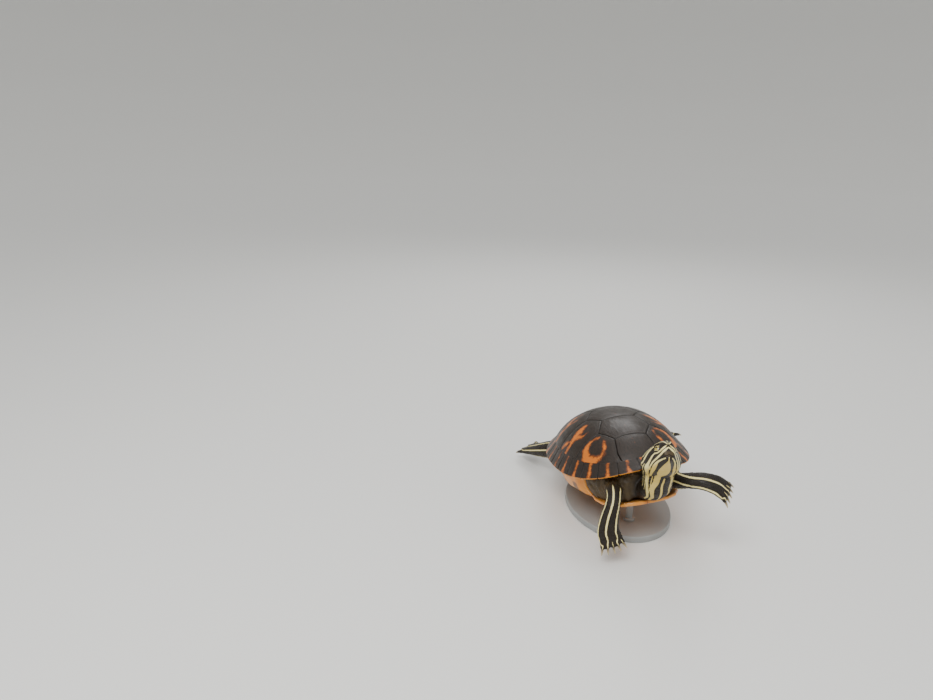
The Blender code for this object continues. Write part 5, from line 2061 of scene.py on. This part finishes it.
@dataclass
class Scales:
    """The raised scales of a leg and its toes: small domed plates, each lapping over the next one down."""

    skin: Skin
    limb: Limb
    pitch: float
    rise: float = 0.13
    # Outline of a scale: along the leg and across it, in shares of its size.
    outline: tuple = ((-0.56, 0.0), (-0.44, 0.36), (0.0, 0.50), (0.42, 0.36), (0.56, 0.0), (0.42, -0.36),
                      (0.0, -0.50), (-0.44, -0.36))

    def roots(self) -> list[tuple]:
        """Where the scales are.

        Returns:
            Place, direction, length and width in millimetres, and place on the unwrapped leg, of each.
        """
        path, made = self.limb.path, []
        chance = np.random.default_rng(7)
        turns = np.linspace(-180, 180, 145)
        for row in range(int((path.run[-1] * 0.80) / (self.pitch * 0.84))):
            down = path.run[-1] * 0.17 + row * self.pitch * 0.84
            share = float(np.interp(down, path.run, np.linspace(0, 1, path.count)))
            loop = np.array([path.surface(share, t) for t in turns])
            arc = np.concatenate([[0], np.cumsum(np.linalg.norm(np.diff(loop, axis=0), axis=1))]) / MM
            count = int(arc[-1] / self.pitch)
            for k in range(count):
                round_it = (k + 0.5 * (row % 2) + 0.10 * chance.standard_normal()) % count / count
                angle = float(np.interp(round_it * arc[-1], arc, turns))
                near = min(int(share * (path.count - 1)), path.count - 1)
                size = self.pitch * (1.10 + 0.10 * chance.standard_normal())
                made.append((path.surface(share, angle, 1.02), path.along[near], size * 1.08, size,
                             (0.02 + 0.86 * share, 0.5 + angle / 375)))
        radius = self.limb.foot.radius
        heel = np.array(BODY)[:3, :3]
        for i, (root, heading, length) in enumerate(self.limb.digits):
            for reach in np.arange(0.0008, length + 0.0006, 0.0016):
                place = carried(BODY, (root + heading * reach + self.limb.up * radius * 0.85)[None, :])[0]
                made.append((place, heel @ heading, 2.1, radius / MM * 1.35,
                             (0.90 + 0.08 * reach / length, (i + 0.5) / len(self.limb.digits))))
        return made

    def build(self) -> None:
        """Builds the leg's scales."""
        places, faces, patches = [], [], []
        sides = len(self.outline)
        for root, lie, long, wide, spot in self.roots():
            there, normal, _, gap = self.skin.tree.find_nearest(Vector(root))
            if gap > 0.0020:
                continue
            lie = Vector(lie) - normal * normal.dot(Vector(lie))
            lie.normalize()
            across = normal.cross(lie)
            first = len(places)
            for size, lift in ((1.0, -0.30), (1.0, 0.0), (0.62, 0.85)):
                for u, v in self.outline:
                    goal = there + (lie * u * long * size + across * v * wide * size) * MM
                    foot, out, _, _ = self.skin.tree.find_nearest(goal)
                    high = lift * self.rise + (0.05 + 0.09 * u if lift >= 0 else 0.0)
                    places.append(foot + out * high * MM)
                    patches.append((spot[0] + 0.0027 * u * size, spot[1] + 0.0027 * v * size))
            places.append(there + normal * (self.rise * 1.1 + 0.05) * MM)
            patches.append(spot)
            faces.append([first + k for k in reversed(range(sides))])
            faces += band(first, sides) + band(first + sides, sides)
            low = first + 2 * sides
            faces += [[low + k, low + (k + 1) % sides, first + 3 * sides] for k in range(sides)]
        piece = mesh_piece(f"scales_{self.limb.name}", places, faces)
        in_edit(piece, (bpy.ops.mesh.normals_make_consistent, {"inside": False}))
        spots = piece.data.uv_layers.new(name="OFBake")
        corners = read(piece.data.loops, "vertex_index", 1, int)[:, 0]
        spots.data.foreach_set("uv", np.array(patches)[corners].ravel())
        at = coords(piece)
        share, _, _ = self.limb.path.locate(at)
        loose = smoothstep(0.20, 0.08, share)
        stripe = self.skin.stripe_edge(at) + 3.0 * loose
        attach(piece, stripe=stripe, loose=loose, throat=0.0, mouth=0.0, fine=0.25)
        finish_piece(piece, self.skin.hide, Slot.SKIN)


@dataclass
class Eyes:
    """The two eyeballs, each with a bulging cornea."""

    head: Head
    surface: Material

    def build(self) -> None:
        """Builds the eyes."""
        for side in Side:
            deselect()
            bpy.ops.mesh.primitive_uv_sphere_add(segments=64, ring_count=48, radius=self.head.eye_radius)
            ball = bpy.context.object
            ball.name = f"eyeball_{side.word}"
            axis, back, up = self.head.eye_frame(side)
            here = coords(ball)
            off = np.hypot(here[:, 0], here[:, 1])
            bulge = 1 + 0.05 * smoothstep(2.7, 1.4, off) * (here[:, 2] > 0)
            attach(ball, from_axis=np.where(here[:, 2] > 0, off, 5.0), across=np.abs(here[:, 1]))
            here = here * bulge[:, None] * 0.995
            placed = here[:, :1] * back + here[:, 1:2] * up + here[:, 2:] * axis
            move_to(ball, self.head.world(placed + np.array(self.head.eye_place(side))))
            in_edit(ball, (bpy.ops.mesh.normals_make_consistent, {"inside": False}))
            finish_piece(ball, self.surface, Slot.EYE, f"eye_{side.word}")


# ---------------------------------------------------------------- stand and studio


@dataclass
class Stand:
    """The display stand: an oval base with a soft edge, and two rods, each with a foot and a collar."""

    steel: Material
    base: tuple = (0.120, 0.165, 0.008)
    rod: float = 0.004
    places: tuple = (("front", -0.045), ("rear", 0.050))
    clearance: float = 0.0003

    def drum(self, x: float, y: float, low: float, high: float, radius: float, bevel: float,
             slope: bool = False) -> Object:
        """An upright cylinder with bevelled ends.

        Args:
            x: Its middle's place.
            y: Its middle's place.
            low: Where it begins.
            high: Where it ends.
            radius: Its radius.
            bevel: Width of its bevels.
            slope: Whether its top follows the belly plate's tilt.

        Returns:
            The cylinder.
        """
        deselect()
        bpy.ops.mesh.primitive_cylinder_add(vertices=64, radius=radius, depth=high - low)
        piece = bpy.context.object
        apply_modifier(piece, "BEVEL", width=bevel, segments=3, limit_method="ANGLE")
        here = coords(piece)
        if slope:
            tilt = here[:, 0] * math.sin(ROLL) - here[:, 1] * math.sin(PITCH)
            here[:, 2] += np.where(here[:, 2] > 0, tilt, 0)
        move_to(piece, here + np.array([x, y, (low + high) / 2]))
        return piece

    def build(self) -> None:
        """Builds the stand."""
        deselect()
        bpy.ops.mesh.primitive_cylinder_add(vertices=160, radius=0.5, depth=1.0)
        base = bpy.context.object
        base.name = "display_base"
        move_to(base, (coords(base) + np.array([0, 0, 0.5])) * np.array(self.base))
        apply_modifier(base, "BEVEL", width=0.0014, segments=4, limit_method="ANGLE")
        finish_piece(base, self.steel, Slot.STAND, "stand_base")
        for word, y in self.places:
            under = BODY @ Vector((0, y, SHELL.keel(y)))
            x, y = under.x, under.y
            low = self.base[2] + self.clearance
            top = under.z - self.clearance
            pieces = [self.drum(x, y, low, top - 0.0004, self.rod, 0.0003, True),
                      self.drum(x, y, low, low + 0.0032, self.rod + 0.0024, 0.0008),
                      self.drum(x, y, top - 0.0030, top - 0.0009, self.rod + 0.0014, 0.0005, True)]
            rod = joined(f"display_rod_{word}", pieces)
            finish_piece(rod, self.steel, Slot.STAND, f"stand_rod_{word}")


@dataclass
class Studio:
    """The pale floor, the soft lights and the camera."""

    paper: Material
    eye: tuple = (-0.2951, -0.7642, 0.446)
    forward: tuple = (0.1325, 0.945, -0.299)
    tilt: float = 1.08
    lens: float = 28.3
    ceiling: float = 0.8
    # How the backdrop sweeps up round the floor: growth and rise of each ring, in metres.
    sweep: tuple = ((1.10, 0.03), (1.10, 0.12), (1.09, 0.24), (1.07, 0.38), (1.05, 0.55), (1.03, 0.75),
                    (1.01, 1.0), (1.0, 1.2))
    # place, size in metres and watts of each soft light, and what they point at
    lights: tuple = (((-0.60, -0.80, 1.20), 0.7, 17.0), ((1.2, -0.9, 0.9), 1.1, 4.0),
                     ((0.3, 1.2, 1.2), 0.8, 7.0))
    target: tuple = (0, -0.02, 0.08)
    air: str = "eef0f1"
    air_strength: float = 0.58

    def backdrop(self) -> None:
        """Builds the floor and the wall that it sweeps up into."""
        deselect()
        bpy.ops.mesh.primitive_circle_add(vertices=96, radius=5.0, fill_type="NGON")
        floor = bpy.context.object
        floor.name = "studio_floor"
        bpy.ops.object.mode_set(mode="EDIT")
        bpy.ops.mesh.select_all(action="SELECT")
        bpy.ops.mesh.region_to_loop()
        for grow, rise in self.sweep:
            bpy.ops.mesh.extrude_edges_move(TRANSFORM_OT_translate={"value": (0, 0, rise)})
            bpy.ops.transform.resize(value=(grow, grow, 1), center_override=(0, 0, 0))
        bpy.ops.mesh.select_all(action="SELECT")
        bpy.ops.mesh.normals_make_consistent(inside=True)
        bpy.ops.object.mode_set(mode="OBJECT")
        bpy.ops.object.shade_smooth()
        floor.data.materials.append(self.paper)

    def light(self) -> None:
        """Hangs the soft lights and the ceiling panel, and fills the air with a little light."""
        link = bpy.context.scene.collection.objects.link
        for index, (place, size, watts) in enumerate(self.lights):
            data = bpy.data.lights.new(f"soft_light_{index + 1}", "AREA")
            data.shape, data.size, data.energy = "DISK", size, watts
            lamp = bpy.data.objects.new(data.name, data)
            lamp.location = place
            aim = Vector(self.target) - Vector(place)
            lamp.rotation_euler = aim.to_track_quat("-Z", "Y").to_euler()
            link(lamp)
        sky = bpy.data.lights.new("ceiling_panel", "SUN")
        sky.energy, sky.angle = self.ceiling, 1.2
        link(bpy.data.objects.new(sky.name, sky))
        world = bpy.data.worlds.new("studio_air")
        world.use_nodes = True
        inputs = world.node_tree.nodes["Background"].inputs
        inputs["Color"].default_value = linear(self.air)
        inputs["Strength"].default_value = self.air_strength
        bpy.context.scene.world = world

    def aim(self) -> None:
        """Sets the camera up."""
        data = bpy.data.cameras.new("camera")
        data.lens, data.sensor_width = self.lens, 36.0
        data.clip_start, data.clip_end = 0.01, 50.0
        camera = bpy.data.objects.new("camera", data)
        level = Vector(self.forward).to_track_quat("-Z", "Y")
        camera.rotation_mode = "QUATERNION"
        camera.rotation_quaternion = level @ Matrix.Rotation(math.radians(self.tilt), 3, "Z").to_quaternion()
        camera.location = self.eye
        bpy.context.scene.collection.objects.link(camera)
        bpy.context.scene.camera = camera

    def build(self) -> None:
        """Builds the studio."""
        self.backdrop()
        self.light()
        self.aim()


def main() -> None:
    """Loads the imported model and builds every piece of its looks."""
    logging.basicConfig(level=logging.INFO, format="%(message)s")
    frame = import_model()
    horn = ShellHorn().make()
    head, legs = Head(), limbs()
    skin = Skin(frame, StripedSkin().make(), head, legs)
    coats = [Scales(skin, limb, FORE_SCALE if limb.foot is FORE else HIND_SCALE) for limb in legs]
    for part in (Studio(StudioPaper().make()), Stand(PowderCoat().make()), Scutes(frame, horn),
                 Marginals(horn), Belly(frame, BellyHorn().make()), Bone(frame, horn), skin, *coats,
                 Eyes(head, EyeSurface().make())):
        part.build()
    claw = ClawHorn().make()
    for limb in legs:
        limb.claws(claw)


if __name__ == "__main__":
    main()
